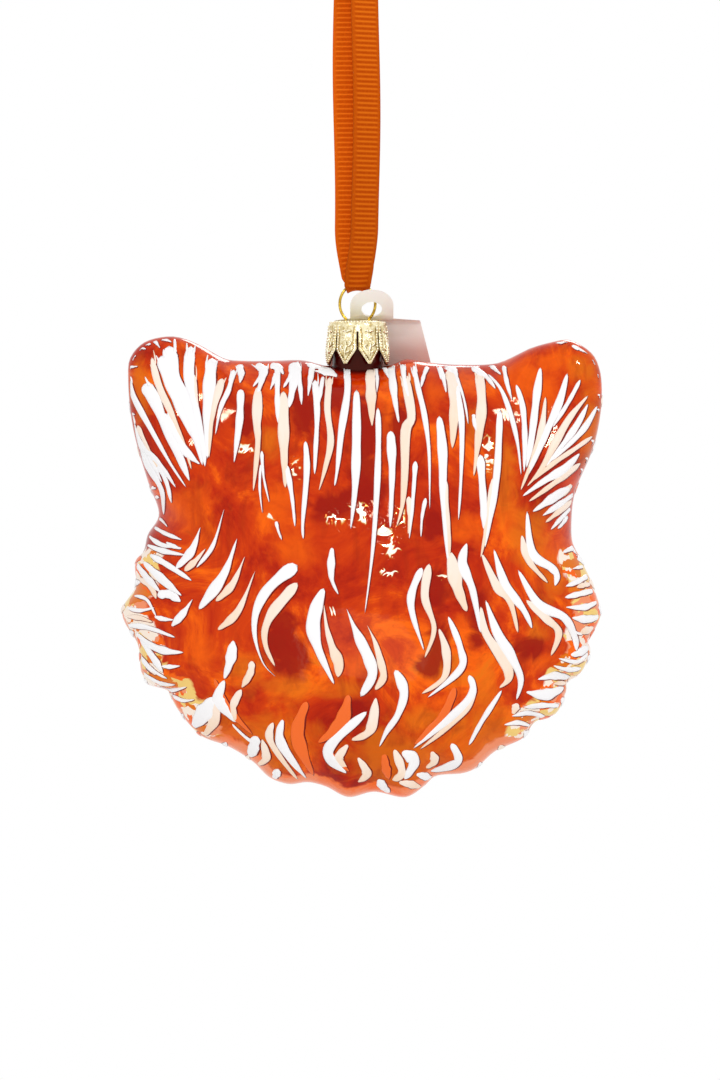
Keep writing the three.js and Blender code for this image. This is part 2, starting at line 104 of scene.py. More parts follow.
# Where the lacquer runs deep red or thin and bright: place and spread in millimetres
DEEP_POOLS = (
    ((-12, 33.5), (3.5, 6)), ((0.5, 29), (3.5, 9)), ((8, 29), (2, 8)), ((-6, 37.5), (3, 4)),
    ((-24, 32), (2.5, 5)), ((1.5, 18.5), (4, 5)), ((-16.5, -12.5), (3.6, 6)), ((-14, -17), (4, 4)),
    ((15, -3.5), (3, 5)), ((16, -14), (2.5, 5)), ((34.5, -15), (4.5, 3)), ((14.5, 10), (3, 4)),
    ((-2, -28), (4, 3)), ((14, -19), (3, 3)), ((-6, 14), (5, 3)), ((24, -9), (2, 6)),
)
BRIGHT_POOLS = (
    ((34, 40.5), (7, 5)), ((-38, 40), (8, 7)), ((42, 44.5), (5, 3)), ((38, 36), (2, 5)),
    ((-35, 14.5), (5, 5)), ((-14, 5), (5, 4)), ((40, 4), (5, 4)), ((30, 10.5), (4, 5)),
    ((21, 9.5), (4, 4)), ((20, -11), (3, 3)), ((5.6, 34), (2.5, 6)), ((14.5, 37.5), (2.5, 4)),
    ((21.5, 40), (3, 3)), ((15, -28.5), (6, 3.5)), ((-17, 15), (5, 5)), ((-28, -33), (5, 3)),
    ((0, -19), (5, 4)), ((32, -30), (5, 3)), ((37, -18), (4, 2.5)), ((-33, -16), (4, 4)),
)
AMBER_POOLS = (
    ((-18, -33), (11, 5)), ((8, -37), (13, 5)), ((26, -31), (8, 5)), ((34, 8), (5, 7)), ((39, -1), (4, 5)),
    ((29, 22), (3, 9)),
    ((47.5, 30), (3, 11)), ((46, 43), (4, 3)), ((-46, 38), (2.5, 8)),
    ((-24, -19.5), (5, 4)), ((-15, -23), (6, 3)), ((-3, -23.5), (5, 2.4)), ((13, -30), (6, 2.6)), ((4, -33.5), (4, 2)),
    ((25, -22), (3, 5)), ((-20, -40), (8, 3)), ((10, -42), (9, 3)), ((27, -37), (6, 3)), ((-33, -30), (5, 4)),
    ((9, 39), (3, 3)), ((23, 31), (2.4, 5)), ((-19, 27), (2.5, 4)), ((36, -12), (3, 3)),
)

# Wrinkles in the glass that catch the light, with painted white and yellow glints along their creases: place and
# spread in millimetres
WRINKLES = (
    ((-24.2, 26), (3, 1.3)), ((-13.2, 21.6), (1.6, 2.8)), ((-5.6, 11.4), (2.4, 2)), ((-1, 13.4), (2.4, 2)),
    ((4.6, 8.4), (2, 2.4)), ((6.4, 5.2), (2.2, 2)), ((8, 12), (1.3, 2.6)), ((25.9, 25), (1.7, 5)),
    ((16.6, -0.8), (2, 1.3)),
    ((-6, -7.4), (2.4, 1.2)), ((-18.4, 12), (1.3, 1)), ((5.5, 0.6), (2.4, 1.2)), ((0.4, 12), (1.2, 2)),
)

POOLS = {"deep": DEEP_POOLS, "bright": BRIGHT_POOLS, "amber": AMBER_POOLS, "wrinkle": WRINKLES}

# Where each wash of lacquer starts and is full: millimetres about the centre, or shares of the way to the edge
BACK_EDGE = (-2 * MM, 2 * MM)
CHEEK_FOOT = (-37, -31)
CHEEK_TOP = (2, 8)
CHEEK_SIDE = (26, 32)
CHEEK_FRONT = (-4 * MM, 7 * MM)
CHEEK_EDGE = (0.83, 0.95)
# The bright rim wash, on the bottom edge: thin lacquer with a painted glow of light through the thin edge
RIM_TOP = (12, 30)
RIM_EDGE = (0.9, 1.0)
# The dark round the neck: thick lacquer and painted shade under the cap
NECK_RING = (6.2, 8.6)
NECK_RISE = (40.6, 42.4)

# How fine the moulded fur lines of the glass are along each axis
FLUTE_SCALE = (330, 90, 80)

# Brush strokes on the back of the head, in millimetres about its centre: width, then the points it runs through
WHITE_STROKES = {
    "left ear": (
        (2.8, (-40, 47.5), (-39.2, 41.9), (-36.6, 36.1), (-34.4, 29.2), (-32.8, 22.5)),
        (2.2, (-41.6, 45.4), (-39.8, 39.4), (-37.2, 33.6), (-34.8, 28)),
        (2.0, (-35.5, 47.5), (-35.8, 41.1), (-34.4, 34.5), (-32.8, 26.5), (-32.3, 22.3)),
        (2.3, (-31, 44.9), (-31.5, 39.8), (-32, 31.8), (-31.8, 23.9)),
        (1.1, (-26.5, 42.5), (-27.5, 38.2), (-29.1, 34.5), (-30.2, 28.9)),
        (2.4, (-45.2, 39.5), (-43.2, 36.6), (-40.5, 30.5), (-37.4, 23.9), (-35.5, 19.3)),
        (1.7, (-41.1, 33.4), (-37.6, 27.6), (-33.9, 23.3)), (1.4, (-38.6, 27.6), (-35.6, 24.6), (-33.4, 22.8)),
        (1.1, (-48.6, 41.1), (-47.2, 36.6), (-43.7, 30.2), (-39.7, 23.3), (-36.2, 18)),
        (1.3, (-48.1, 32.6), (-46.4, 27.6), (-42.7, 23.9), (-40.5, 21.2), (-38.4, 18)),
        (1.4, (-46.7, 26.5), (-43.7, 21.7), (-41.3, 17.2), (-41.1, 12.4)),
        (1.0, (-42.4, 23.3), (-40.3, 19.1), (-39.3, 14.8)), (0.8, (-44.5, 24.9), (-41.3, 19.1)),
        (1.0, (-48.3, 45.5), (-46.9, 45.4)), (0.5, (-48.6, 43.2), (-46.5, 43.2)), (0.6, (-46.8, 47.4), (-44.8, 46.8)),
        (0.8, (-45.2, 48.2), (-43.8, 47.8)), (0.7, (-43.7, 49.1), (-41.9, 47)), (0.6, (-42.1, 49.1), (-39.5, 48.2)),
        (0.4, (-48.4, 37.4), (-47.4, 37.2)), (0.4, (-48, 33.6), (-47, 33.2)), (0.5, (-46.6, 27.6), (-45.8, 27.4)),
        (0.6, (-43.6, 18.1), (-42.6, 17.9)), (0.6, (-42.8, 16.2), (-41.9, 16)),
    ),
    "right ear": (
        (0.9, (26.1, 41.6), (28.8, 38.1), (30.8, 32.7), (32.1, 27), (32.8, 20.5)),
        (1.2, (31.9, 39.3), (33.2, 34.7), (33.6, 28.5), (33.4, 21.2)),
        (1.6, (37, 42.9), (36.1, 36.6), (35.1, 28.9), (33.9, 22)),
        (1.6, (42.6, 41.7), (40.9, 35.8), (38.2, 29.7), (35.9, 24.7), (33.4, 19.3)),
        (0.9, (45.3, 40.4), (42.8, 35.8), (39.4, 30.4)),
        (1.2, (46.9, 35.4), (44.4, 30.8), (41.3, 26.6), (37.8, 22.2)),
        (1.1, (48.9, 35), (46.1, 30.4), (42.5, 26.6), (38.8, 23.3)),
        (1.5, (45.1, 25.1), (41.7, 21.8), (37.5, 19.3), (33.1, 16.2)), (1.6, (43.6, 18.5), (39.4, 15.8), (35.2, 13)),
        (1.1, (44.4, 17), (40.5, 14.3), (37.3, 12.2)), (0.8, (43.4, 13.9), (41.4, 11.9), (39, 9.3)),
        (0.7, (42.6, 12.2), (40.5, 9.5)),
        (0.9, (40.5, 48.1), (43.3, 48.8)), (0.8, (43.6, 47.5), (45.8, 46.8)), (0.8, (45, 47), (47.4, 46.2)),
        (0.6, (48.2, 45), (49.2, 44.2)),
        (0.4, (49.2, 41.9), (50.2, 41.8)), (0.4, (49, 37.3), (50, 37.2)), (0.4, (48.8, 34.3), (49.8, 34.3)),
        (0.5, (47.6, 27.9), (48.6, 27.5)), (0.5, (46.4, 24.2), (47.4, 23.6)), (0.5, (45.4, 22), (46.4, 21.2)),
    ),
    "fringe": (
        (1.6, (-25, 38.3), (-25.2, 32), (-26.3, 23.1)), (1.4, (-25.6, 43.6), (-25, 41.6), (-25.2, 39.6)),
        (1.3, (-22, 43.6), (-20.4, 42), (-22.5, 38.8)), (1.6, (-20.2, 43.4), (-20.6, 40.6), (-21.5, 37.4)),
        (1.4, (-19, 43.4), (-17.2, 42.8), (-16.2, 41.4)), (1.2, (-17.5, 42.8), (-17.4, 36), (-17.3, 31.3)),
        (0.8, (-17.8, 41.8), (-18.9, 38.2)), (2.2, (-14.4, 44), (-13.8, 41.8), (-14.4, 37.8), (-15, 34.4)),
        (1.0, (-13.2, 43.4), (-12.7, 38.6), (-12.4, 35)), (0.9, (-14.2, 42), (-15.2, 40.2), (-16.2, 38.6)),
        (1.0, (-15.6, 22.7), (-14.4, 16.5), (-13.7, 9.9)), (1.1, (-10, 43.8), (-10.6, 40.6), (-11.1, 36.8)),
        (1.2, (-9.7, 40.3), (-9.2, 33.4), (-9.5, 25.5), (-9.7, 20.6)), (0.9, (-8, 41), (-8.6, 37.4), (-9, 34.4)),
        (1.9, (-9, 42.8), (-6.8, 42), (-5.1, 41)), (1.2, (-11.4, 43.8), (-9.6, 43.2), (-8, 42.6)),
        (1.4, (-3.1, 43.1), (-3, 37.6), (-4.2, 29.6), (-5, 22), (-5.6, 18.2)),
        (1.8, (-1.1, 38.2), (-1.1, 28.2), (-1.4, 17.9), (-2.3, 9.4)), (0.7, (2.9, 43.1), (3.1, 37.6)),
        (1.2, (3.3, 34.4), (3.4, 28.2), (3.1, 17.9), (2.2, 5), (0.6, -7.9)),
        (1.6, (5.9, 29.6), (6.2, 21.3), (5.8, 9.6)), (1.4, (6, 43.8), (6.7, 36.9), (7.6, 31.3)),
        (1.1, (10.7, 43.4), (11.6, 38.6), (12.9, 32.7), (13.8, 24.8), (13.9, 13.4)), (0.9, (13.6, 43.1), (12.2, 38.6)),
        (1.7, (15.9, 32.7), (16.6, 24.8), (16.7, 14.4), (17.8, 1.6)), (1.0, (16, 43.1), (17.4, 37.6)),
        (1.1, (19.2, 41), (20.5, 31.7), (20.4, 21.3), (19.8, 11.2)), (0.6, (19.4, 41.4), (21.9, 31)),
        (1.1, (22.8, 43.1), (25.7, 41), (27.6, 38.4)), (0.8, (23, 33.1), (23.6, 29.4)),
        (1.6, (24.3, 24.8), (25, 14.4), (25, 9.4)), (1.5, (28.5, 34.1), (27.8, 21.3), (26.4, 12.3), (25.2, 5.4)),
        (1.1, (-11.6, 27.5), (-11.3, 21.3), (-12.1, 10.9), (-12, 7.4)), (0.5, (-20.8, 22.7), (-20.4, 12.7)),
        (0.6, (-20.6, 25.5), (-19, 14.9)), (0.6, (-17.6, 11), (-16.4, 7.2)),
        (0.9, (11, 23.4), (10.5, 16.1), (9.7, 7.4)),
        (0.7, (13.1, 15.8), (12.1, 7.8)), (1.0, (8.4, 43.6), (8.9, 39.6), (9.8, 36)), (0.8, (4.6, 43.6), (5.6, 40.6)),
        (0.9, (29.4, 43.4), (30, 39.6), (31, 36)), (0.8, (26.6, 43.8), (28.8, 41.4)),
        (1.2, (17.4, 43.4), (19.2, 42.2), (19.9, 39)),
    ),
    "left body": (
        (1.6, (-33.2, 9.8), (-35, 5), (-38.3, 1.3)), (0.8, (-28.3, 13.5), (-30.6, 6), (-34, 1.5)),
        (1.9, (-25.6, 7.5), (-28.4, 0), (-33.5, -7.1)), (1.4, (-34.8, -5), (-39.2, -10.6)),
    ),
    "comma": (
        (3.3, (-13.2, 2), (-16.4, -0.2), (-19.8, -3.6), (-21.8, -8), (-21.9, -13), (-20.2, -18.2), (-17.6, -21)),
    ),
    "left leaves": (
        (1.9, (-26.4, -13.5), (-27, -17.4), (-28.3, -21.4)),
        (2.3, (-28.3, -21.7), (-29.6, -25.3), (-28.3, -27.7), (-26, -30.4)),
    ),
    "leaves": (
        (2.4, (-7.8, -2.7), (-9.3, -6.6), (-10, -10.8), (-9, -15), (-7.2, -19.2), (-5.7, -22.4)),
        (1.3, (-6.1, 5.6), (-6.3, 1.9), (-6.1, -1.1), (-4.8, -4)),
        (1.8, (6.8, -19.5), (8.2, -22.3), (8.6, -25), (7.3, -28.9), (5.1, -32.2), (3.6, -35.4)),
    ),
    "drops": (
        (2.4, (-3.1, -6.9), (-1.8, -10.2), (-0.3, -13.5), (1.5, -17.4), (2.1, -20.8), (-0.3, -25)),
    ),
    "left cheek": (
        (0.6, (-42.4, 12), (-40.2, 9.9)), (1.0, (-43.2, 9.9), (-40.6, 8.5), (-37.1, 7.2)),
        (0.9, (-40.4, 6.7), (-37.2, 5.3)),
        (1.0, (-44.3, 8.1), (-41.4, 6.2), (-37.1, 5.5)), (1.2, (-44.7, 6.2), (-41, 4.9), (-36.1, 4)),
        (1.5, (-43.9, 4.1), (-40.2, 2.1), (-35, -1.2)), (1.9, (-45.3, 2.7), (-41.4, -0.8), (-37.1, -4.3)),
        (1.6, (-46.8, 2.3), (-44.3, -0.8), (-41.6, -3.6)), (2.2, (-42.2, -4.3), (-39.8, -4), (-37.3, -5.5)),
        (0.9, (-48.6, -6.9), (-45.9, -7.4), (-42.8, -6.8)), (0.8, (-47.2, -4.4), (-44.4, -5.2), (-42.4, -8.6)),
        (1.0, (-42.8, -8.6), (-41, -9.1), (-38.8, -9.3)), (1.2, (-48.9, -10.5), (-44.3, -10.9), (-38.5, -12.9)),
        (1.7, (-46.9, -12.1), (-43.5, -14.7), (-40.2, -15.8), (-36.8, -16)),
        (1.5, (-46, -13.3), (-42.8, -17.6), (-41.1, -20.2)), (1.0, (-46.3, -16.4), (-43.9, -19.3), (-40.2, -21.5)),
        (0.9, (-41.4, -18.9), (-37.5, -18.8)), (0.8, (-45.6, -20.2), (-41.8, -22.4), (-38.6, -22.8)),
        (0.9, (-43.4, -23.2), (-39.8, -24), (-36.2, -23.2)), (0.8, (-40.2, -24.6), (-37.2, -26), (-34.6, -25.8)),
    ),
    "centre": (
        (1.5, (12.3, 1.5), (10, -5.6), (12.7, -15.4)),
    ),
    "right body": (
        (1.8, (21.5, 6.5), (20.6, 2.3), (22.7, -3.1), (24.4, -11.9)),
        (1.6, (27.1, 5.2), (29.4, -1.9), (33.3, -7.3), (35, -11)),
        (1.7, (34, 13.1), (35, 4.6), (39, 1.5), (40.2, -0.2), (39.8, -2.3)),
        (1.8, (32.1, 1), (36.3, -6), (41.7, -8.8), (44, -12.9), (44.4, -15.8)),
        (1.9, (25.4, -5.2), (27.7, -11.7), (30.4, -16.3), (32.7, -21.3), (31.9, -25.8)),
        (1.5, (17.7, -8.5), (20.2, -15), (20.2, -19.4), (13.5, -25.2)),
    ),
    "right cheek": (
        (1.1, (44.4, 5.6), (41.6, 4.6)), (0.9, (43.6, 6.2), (45.6, 3.4)), (1.3, (47.4, 0), (44.9, -1.3), (42.1, -2.4)),
        (1.4, (48.2, -3.3), (44.9, -4), (41.9, -4.7)), (1.3, (48.9, -5.6), (46.1, -6.7), (42.1, -6.7)),
        (1.7, (49.5, -8.7), (46.5, -9.2), (43.4, -8.9)), (1.7, (47, -14.8), (45, -16.2), (43.2, -16.6)),
        (0.9, (47, -16.2), (44.5, -18), (40.6, -17.3)), (1.6, (43.8, -21.6), (39.9, -20.9), (36.3, -21.6)),
        (2.3, (41.9, -23.4), (38, -24.8), (33.9, -24.2)), (1.0, (45.6, -19.4), (42.6, -19.6), (39.6, -18.8)),
        (1.2, (41.2, -27.2), (37.4, -27), (33.4, -27.4)), (1.1, (38.2, -29.6), (34.6, -28.6), (31, -29.2)),
        (1.0, (35.4, -31.6), (32.4, -30.6), (29.4, -31)), (0.7, (46.6, 1.6), (43.6, 1.2)),
        (0.7, (45.6, -12.4), (43.2, -11.4)),
    ),
    "chin": (
        (2.9, (-30.5, -25.3), (-32.6, -28.6), (-35.4, -32.1)), (2.2, (-21.9, -33.3), (-23.1, -37.9)),
        (1.6, (-16.3, -29.8), (-16.7, -34.6), (-11.5, -42.3)),
        (2.0, (1, -28.1), (-6.9, -36), (-3.2, -41)), (1.5, (22.1, -20.6), (22, -25.6), (10.6, -35.8)),
        (0.9, (28.8, -23.8), (24.6, -30.4), (22.1, -35.2)), (1.6, (18.5, -34.8), (19.8, -38.7), (14.2, -40.8)),
        (2.1, (8.3, -36.5), (10.8, -38.5), (8.8, -42.3)), (1.5, (3.3, -42.4), (5.8, -45.2)),
        (1.3, (11.3, -41.3), (14.8, -42.5)), (0.5, (-26.8, -30.8), (-21.2, -35.6)),
        (1.4, (-17.3, -40.2), (-18.4, -42.6)),
    ),
}
CREAM_STROKES = {
    "left ear": (
        (1.4, (-28.8, 40.6), (-30.2, 35.8), (-31.2, 30.5), (-31.5, 24.1)),
        (1.0, (-34.8, 41.7), (-34.2, 34.5), (-33.1, 26.5), (-32.3, 22.8)),
        (1.3, (-43.6, 45.1), (-42.1, 39.3), (-39.2, 32.9), (-36.6, 26.5), (-35.1, 21.7)),
        (0.8, (-46.6, 31), (-44, 25.6), (-41.4, 21)),
    ),
    "right ear": (
        (1.2, (38, 36.8), (37.1, 30), (35.2, 23.9), (32.7, 17.4)),
        (1.4, (46.9, 37.1), (43.2, 32.7), (40, 27.4), (37.1, 22), (34, 18.2)),
        (1.0, (47.9, 28.7), (44, 26), (39.4, 22.9), (35.2, 19.3)), (1.2, (45.3, 23.1), (40.5, 19.5), (34.4, 15.1)),
        (1.1, (43.4, 18.7), (40.2, 15.7)), (1.1, (44.2, 15.8), (40.9, 13.2), (37.9, 10.8)),
    ),
    "fringe": (
        (1.7, (-21.4, 38.9), (-21.6, 31.7), (-21.4, 26.8), (-22.3, 17.2)),
        (2.0, (-16.2, 37.9), (-16.1, 29.6), (-15.9, 22.7), (-15.7, 17.9)),
        (1.4, (-6.6, 41), (-7.1, 34.4), (-6.4, 27.5), (-7.5, 22), (-8.8, 17.3)),
        (2.1, (1.7, 42.7), (1.9, 36.9), (2.1, 30.6)),
        (2.0, (8.8, 41.5), (9.5, 37.6), (10.2, 32.4), (9, 29.6), (8.8, 21.3), (8.3, 14.4), (7.1, 9.9)),
        (2.3, (18.5, 42.7), (19, 35.1), (18.6, 26)), (2.0, (24.3, 42), (24.7, 35.1), (24, 28.2), (23, 20.3)),
        (1.0, (9.6, 16.1), (9.5, 8.4)), (1.2, (16.9, 20), (17.6, 10), (18, 3)),
        (1.1, (27, 20), (25.6, 10), (24.4, 3.6)),
    ),
    "left body": (
        (1.2, (-32.1, 5.4), (-36.5, 0.8)), (1.4, (-24, 3.8), (-26.6, -2), (-30, -5.4)),
        (1.4, (-21.9, 0.8), (-25.4, -7.4), (-29.6, -11.3)),
    ),
    "left leaves": (
        (1.5, (-22.6, -17.7), (-22.9, -20.1), (-24.7, -23.2)), (1.5, (-24.8, -23.6), (-26.5, -27.1), (-25.9, -30.4)),
    ),
    "drops": (
        (1.9, (-7.8, -6), (-7.2, -10.8), (-6, -15), (-4.8, -18), (-4.9, -21)),
        (1.6, (1.1, -10.3), (2.7, -13.8), (3.9, -18), (4.4, -21), (2.7, -23.6)),
    ),
    "centre": (
        (1.9, (-13.2, -1.6), (-15.7, -4.5), (-18.4, -7.8), (-19.9, -11.4), (-19.6, -15), (-17.8, -18.8)),
        (1.5, (13.8, 2.3), (12.9, -4.4), (14.8, -11), (12.9, -17)),
    ),
    "right body": (
        (2.4, (18.1, 4.8), (19.4, -1.9), (21.5, -7.5)), (1.6, (24.6, 4.4), (27.7, -2.3), (30.4, -5.4), (32.1, -11.9)),
        (1.3, (32.9, 8.1), (34.2, 3.1), (38.3, -1.7)), (1.6, (33.8, -5.2), (37.7, -8.8), (40.6, -11.9), (39, -16.7)),
        (2.0, (24.4, -6.5), (25.4, -11.9), (29.4, -17.9), (30.2, -21.3), (28.3, -23.3)),
        (1.5, (15.8, -11), (17.3, -15.8), (16.9, -21), (12.3, -24.4)),
    ),
    "cheeks": (
        (1.3, (-46.4, -0.6), (-43.6, -2.6), (-42.4, -5)), (1.0, (-48.9, -8.6), (-45.6, -9), (-43.2, -9.8)),
        (1.0, (-45.2, -18.2), (-42.6, -20.8)), (1.0, (-44, 1), (-41.4, -1.6)), (1.6, (48.3, -11.1), (45, -12.2)),
        (1.2, (47.4, -2), (44.4, -2.6)), (1.1, (46.4, -17.4), (43.6, -18.6)), (1.0, (42.8, -22.6), (39.6, -22.6)),
    ),
    "chin": (
        (1.8, (-30.8, -25.4), (-30.2, -29.4), (-32.9, -33.8)),
        (1.4, (-20.6, -34), (-19.8, -37.9), (-21.9, -39.6)), (1.3, (-18.3, -30.4), (-18.8, -34.4), (-13.3, -42.5)),
        (1.7, (2.9, -25.2), (1.7, -31.9), (-2.1, -34)), (1.6, (-2.9, -35), (-4.8, -37.9), (-3.1, -39.8)),
        (1.5, (-0.8, -37.7), (1, -41), (-0.8, -42.9)), (1.1, (22.9, -22), (21.6, -27.6), (12, -36)),
        (1.4, (14.4, -36.5), (15, -38.5), (13.3, -40)), (1.6, (6.7, -36), (8.3, -40.8), (6.3, -42.5)),
        (1.3, (7.7, -42.9), (12.4, -44.2)), (1.3, (32.2, -26.6), (31.2, -28.8)),
    ),
}
ORANGE_STROKES = {
    "chin": (
        (2.3, (-11.3, -26), (-13.3, -33.1), (-10, -41.7)), (2.3, (-2.7, -24.6), (-4.4, -30.6), (-9, -34.6)),
        (1.6, (4.6, -37), (5.6, -42.3)), (1.7, (19.2, -23.1), (16.3, -29.6), (10.8, -35)),
        (1.2, (-30.4, -21.4), (-27.6, -27.4), (-22.6, -33)), (1.0, (-7.4, -35.6), (-2.6, -40.6)),
    ),
}

# The painted face, mirrored to both sides, in millimetres about the head's centre
FACE_LINES = (
    (0.9, (0, -8.6), (0, -12.6)), (0.9, (0, -12.6), (3.6, -16.2), (8.4, -16.6)),
    (0.7, (12.6, 8.6), (18.6, 10.4), (25.4, 7.2)),
)
FACE_STRIPES = (
    (1.7, (0, 40), (0, 24)), (1.5, (5.2, 41), (5.4, 31), (3.6, 23)), (1.5, (11, 41.5), (11.6, 33), (9.6, 25)),
    (1.4, (17, 41), (18.6, 32), (16.4, 26)), (1.6, (46, -2), (40, -1.6), (34, -4)),
    (1.6, (47.6, -9), (41, -8.6), (34.6, -10.6)), (1.5, (45, -16.4), (39, -15.6), (33.6, -16.4)),
)
FACE_FUR = (
    (1.4, (14, 17), (17.6, 24), (21.6, 28.6)), (1.2, (11, 15.4), (12.8, 22), (14.6, 27)),
    (1.3, (20, 16), (24.6, 21.6), (29, 25)), (1.5, (28, 8), (33.6, 12), (37, 17)),
    (1.4, (30, 2), (36, 3.6), (40.6, 7)), (1.4, (26, -20), (32, -23.6), (37.6, -23)),
    (1.4, (23, -24), (28, -29), (33, -30.4)), (1.4, (17, -28), (20.6, -33.6), (24.6, -36)),
    (1.3, (10, -31), (12, -36.6), (14.6, -40)), (1.3, (3, -34), (3.6, -39), (5.2, -42)),
    (1.2, (36, 24), (38.4, 33), (42.6, 41)), (1.1, (38.6, 23), (41.6, 31), (45.6, 37)),
    (1.1, (33.8, 25), (34.6, 34), (37.6, 43)),
)
FACE_PATCHES = {
    "muzzle": ((8.2, -15.4), (10.2, 8.4), 0.35), "chin": ((0, -27), (7, 5), 0.3),
    "blaze": ((0, 12), (3.2, 13), 0.3),
}
EYE = (18.5, 4.5)
EYE_LIFT = math.radians(12)
EYE_RIM = ((8.2, 6), 0.3)
IRIS = ((6.9, 5), 0.5)
PUPIL = ((1.5, 3.4), 0.7)
GLINT = ((0.8, 0.8), 0.8)
GLINT_SHIFT = (1.8, 1.5)
EAR_PINK = ((39.6, 33.5), (5, 9.5), 0.3)
NOSE = ((0, -6.2), (4, 2.9), 0.7)
WHISKER_DOTS = ((8.4, -12.6), (12, -13.4), (9.4, -15.8), (13, -16.6), (10.6, -19))
WHISKER_DOT = ((0.5, 0.5), 0.6)
LINE_HEIGHT = 0.6
STRIPE_HEIGHT = 0.25
FUR_HEIGHT = 0.26
RUFF_TURNS = (-150, -139, -128, -118, -108, -98, -82, -72, -62, -52, -41, -30)
RUFF_POINTS = ((0.97, 0.0), (0.88, 0.03), (0.78, 0.02))
RUFF_WIDTH = 1.6
PATCH_THINNING = 0.6

# A stroke's sides and rings, its bow, its wobble by depth, waves and phase, its crown and how its ends ease
STROKE_GRID, SHADE_GRID, HAIR_GRID = (12, 26), (8, 26), (6, 12)
FACE_GRID, BEAD_GRID = (10, 16), (8, 6)
STROKE_STEP = 0.01
STROKE_BOW = 0.035
STROKE_WOBBLE = ((0.14, 9, 1.0), (0.07, 23, 2.3))
STROKE_CROWN = 0.6
SPREAD_EASE, HEIGHT_EASE = 12, 6
STROKE_FULLNESS = {"left cheek": 0.92, "right cheek": 0.96, "cheeks": 0.96, "chin": 1.2}
FULL_STROKE = 1.1
# The dark line beside each stroke is shifted down and to the right: partly dark lacquer, partly painted shadow of the
# raised stroke
SHADE_SHIFT = (0.13, -0.08)
SHADE_HEIGHT = 0.25

# Groups with the hairs of a dry brush, the height they start at, and a stroke's least width and length
DRY_ABOVE = {"left ear": 25, "fringe": 40}
DRY_WIDTH = 1.0
DRY_LENGTH = 4.0

# Fur round the edge of the head: places in degrees, and the strokes of every four that each coat takes
EDGE_TURNS = (-58, -51, -44, -38, -32, -26, -20, -14, -8, -2, 4, 22, 29, 36)
EDGE_COATS = ((0, 2), (1,), (3,))

# The ribbon's ribs, selvage and measuring steps, and its knot's wraps by tilt in degrees, offset and half width
RIB_STEPS = 6
SELVAGE_BLEND = 0.03
ALONG_STEP, ACROSS_STEP = 0.002, 0.05
KNOT_WRAPS = ((-24, -0.12, 0.62), (34, 0.16, 0.55), (4, 0.02, 0.5))

# Scrolls pressed on each petal of the cap, in millimetres across it and below the shoulder
CAP_SCROLLS = (
    ((0, 3.2), (0.12, 4.2), (-0.08, 5.2), (0, 6.4)),
    ((0.05, 4.4), (0.75, 4.2), (1.05, 3.7), (0.75, 3.35), (0.5, 3.6)),
    ((-0.05, 5.2), (-0.8, 5.0), (-1.1, 4.4), (-0.8, 4.05), (-0.5, 4.35)),
    ((0.02, 5.6), (0.55, 5.5), (0.85, 5.05)), ((0, 1.5), (0.5, 1.1), (1.0, 1.2)),
    ((0, 1.5), (-0.5, 1.1), (-1.0, 1.2)),
)

# Soft lamps: name, direction from the head, distance and size in metres, power in watts
LAMPS = (
    ("upper_right_lamp", (0.55, -0.64, 0.53), 0.95, 0.06, 1.0),
    ("upper_left_lamp", (-0.5, -0.68, 0.53), 0.95, 0.05, 0.6),
    ("front_lamp", (0.04, -0.95, 0.24), 1.0, 0.08, 0.8),
    ("low_lamp", (0.0, -0.93, -0.37), 0.95, 0.4, 0.6),
    ("rear_lamp", (0.2, 0.8, 0.55), 0.95, 0.3, 1.5),
)


def paint(red, green, blue):
    """A colour as it is seen, 0 to 255, turned to the linear values that shaders take."""
    shares = (value / 255 for value in (red, green, blue))
    return tuple(s / 12.92 if s <= 0.04045 else ((s + 0.055) / 1.055) ** 2.4 for s in shares)


def lerp(start, end, share):
    return start + (end - start) * share


def smoothstep(value, low, high):
    share = min(1.0, max(0.0, (value - low) / (high - low)))
    return share * share * (3 - 2 * share)


def length(name, description, millimetres):
    return FloatProperty(name=name, description=description, default=millimetres * MM, min=0.0, precision=5,
                         subtype="DISTANCE", unit="LENGTH")


def place(name, description, millimetres):
    return FloatProperty(name=name, description=description, default=millimetres * MM, precision=5,
                         subtype="DISTANCE", unit="LENGTH")


def angle(name, description, degrees):
    return FloatProperty(name=name, description=description, default=math.radians(degrees),
                         subtype="ANGLE", unit="ROTATION")


def share_of(name, description, default):
    return FloatProperty(name=name, description=description, default=default, min=0.0, max=1.0, subtype="FACTOR")


def colour(name, description, seen):
    return FloatVectorProperty(name=name, description=description, default=paint(*seen), size=3,
                               min=0.0, max=1.0, subtype="COLOR")


class StageSettings(bpy.types.PropertyGroup):
    """The camera, the lamps and the floor."""
    view_height: length("View height", "Height of the picture at the ornament", 225)
    view_x: place("View centre X", "Middle of the picture across", 0.52)
    view_z: place("View centre Z", "Middle of the picture up", -122.5)
    distance: length("Camera distance", "From the camera to the ornament", 1200)
    floor_z: place("Floor height", "Height of the floor under the hanging ornament", -300)
    floor_radius: length("Floor radius", "Radius of the round floor", 320)
    surround: share_of("Surround light", "Strength of the even light from all round", 0.8)
    lamp_aim: place("Lamp aim", "Height that the lamps point at", -130)
    floor_colour: colour("Floor colour", "Pale matt floor", (236, 235, 233))
    speckle: colour("Floor speckle", "Paler grain of the floor", (242, 241, 240))


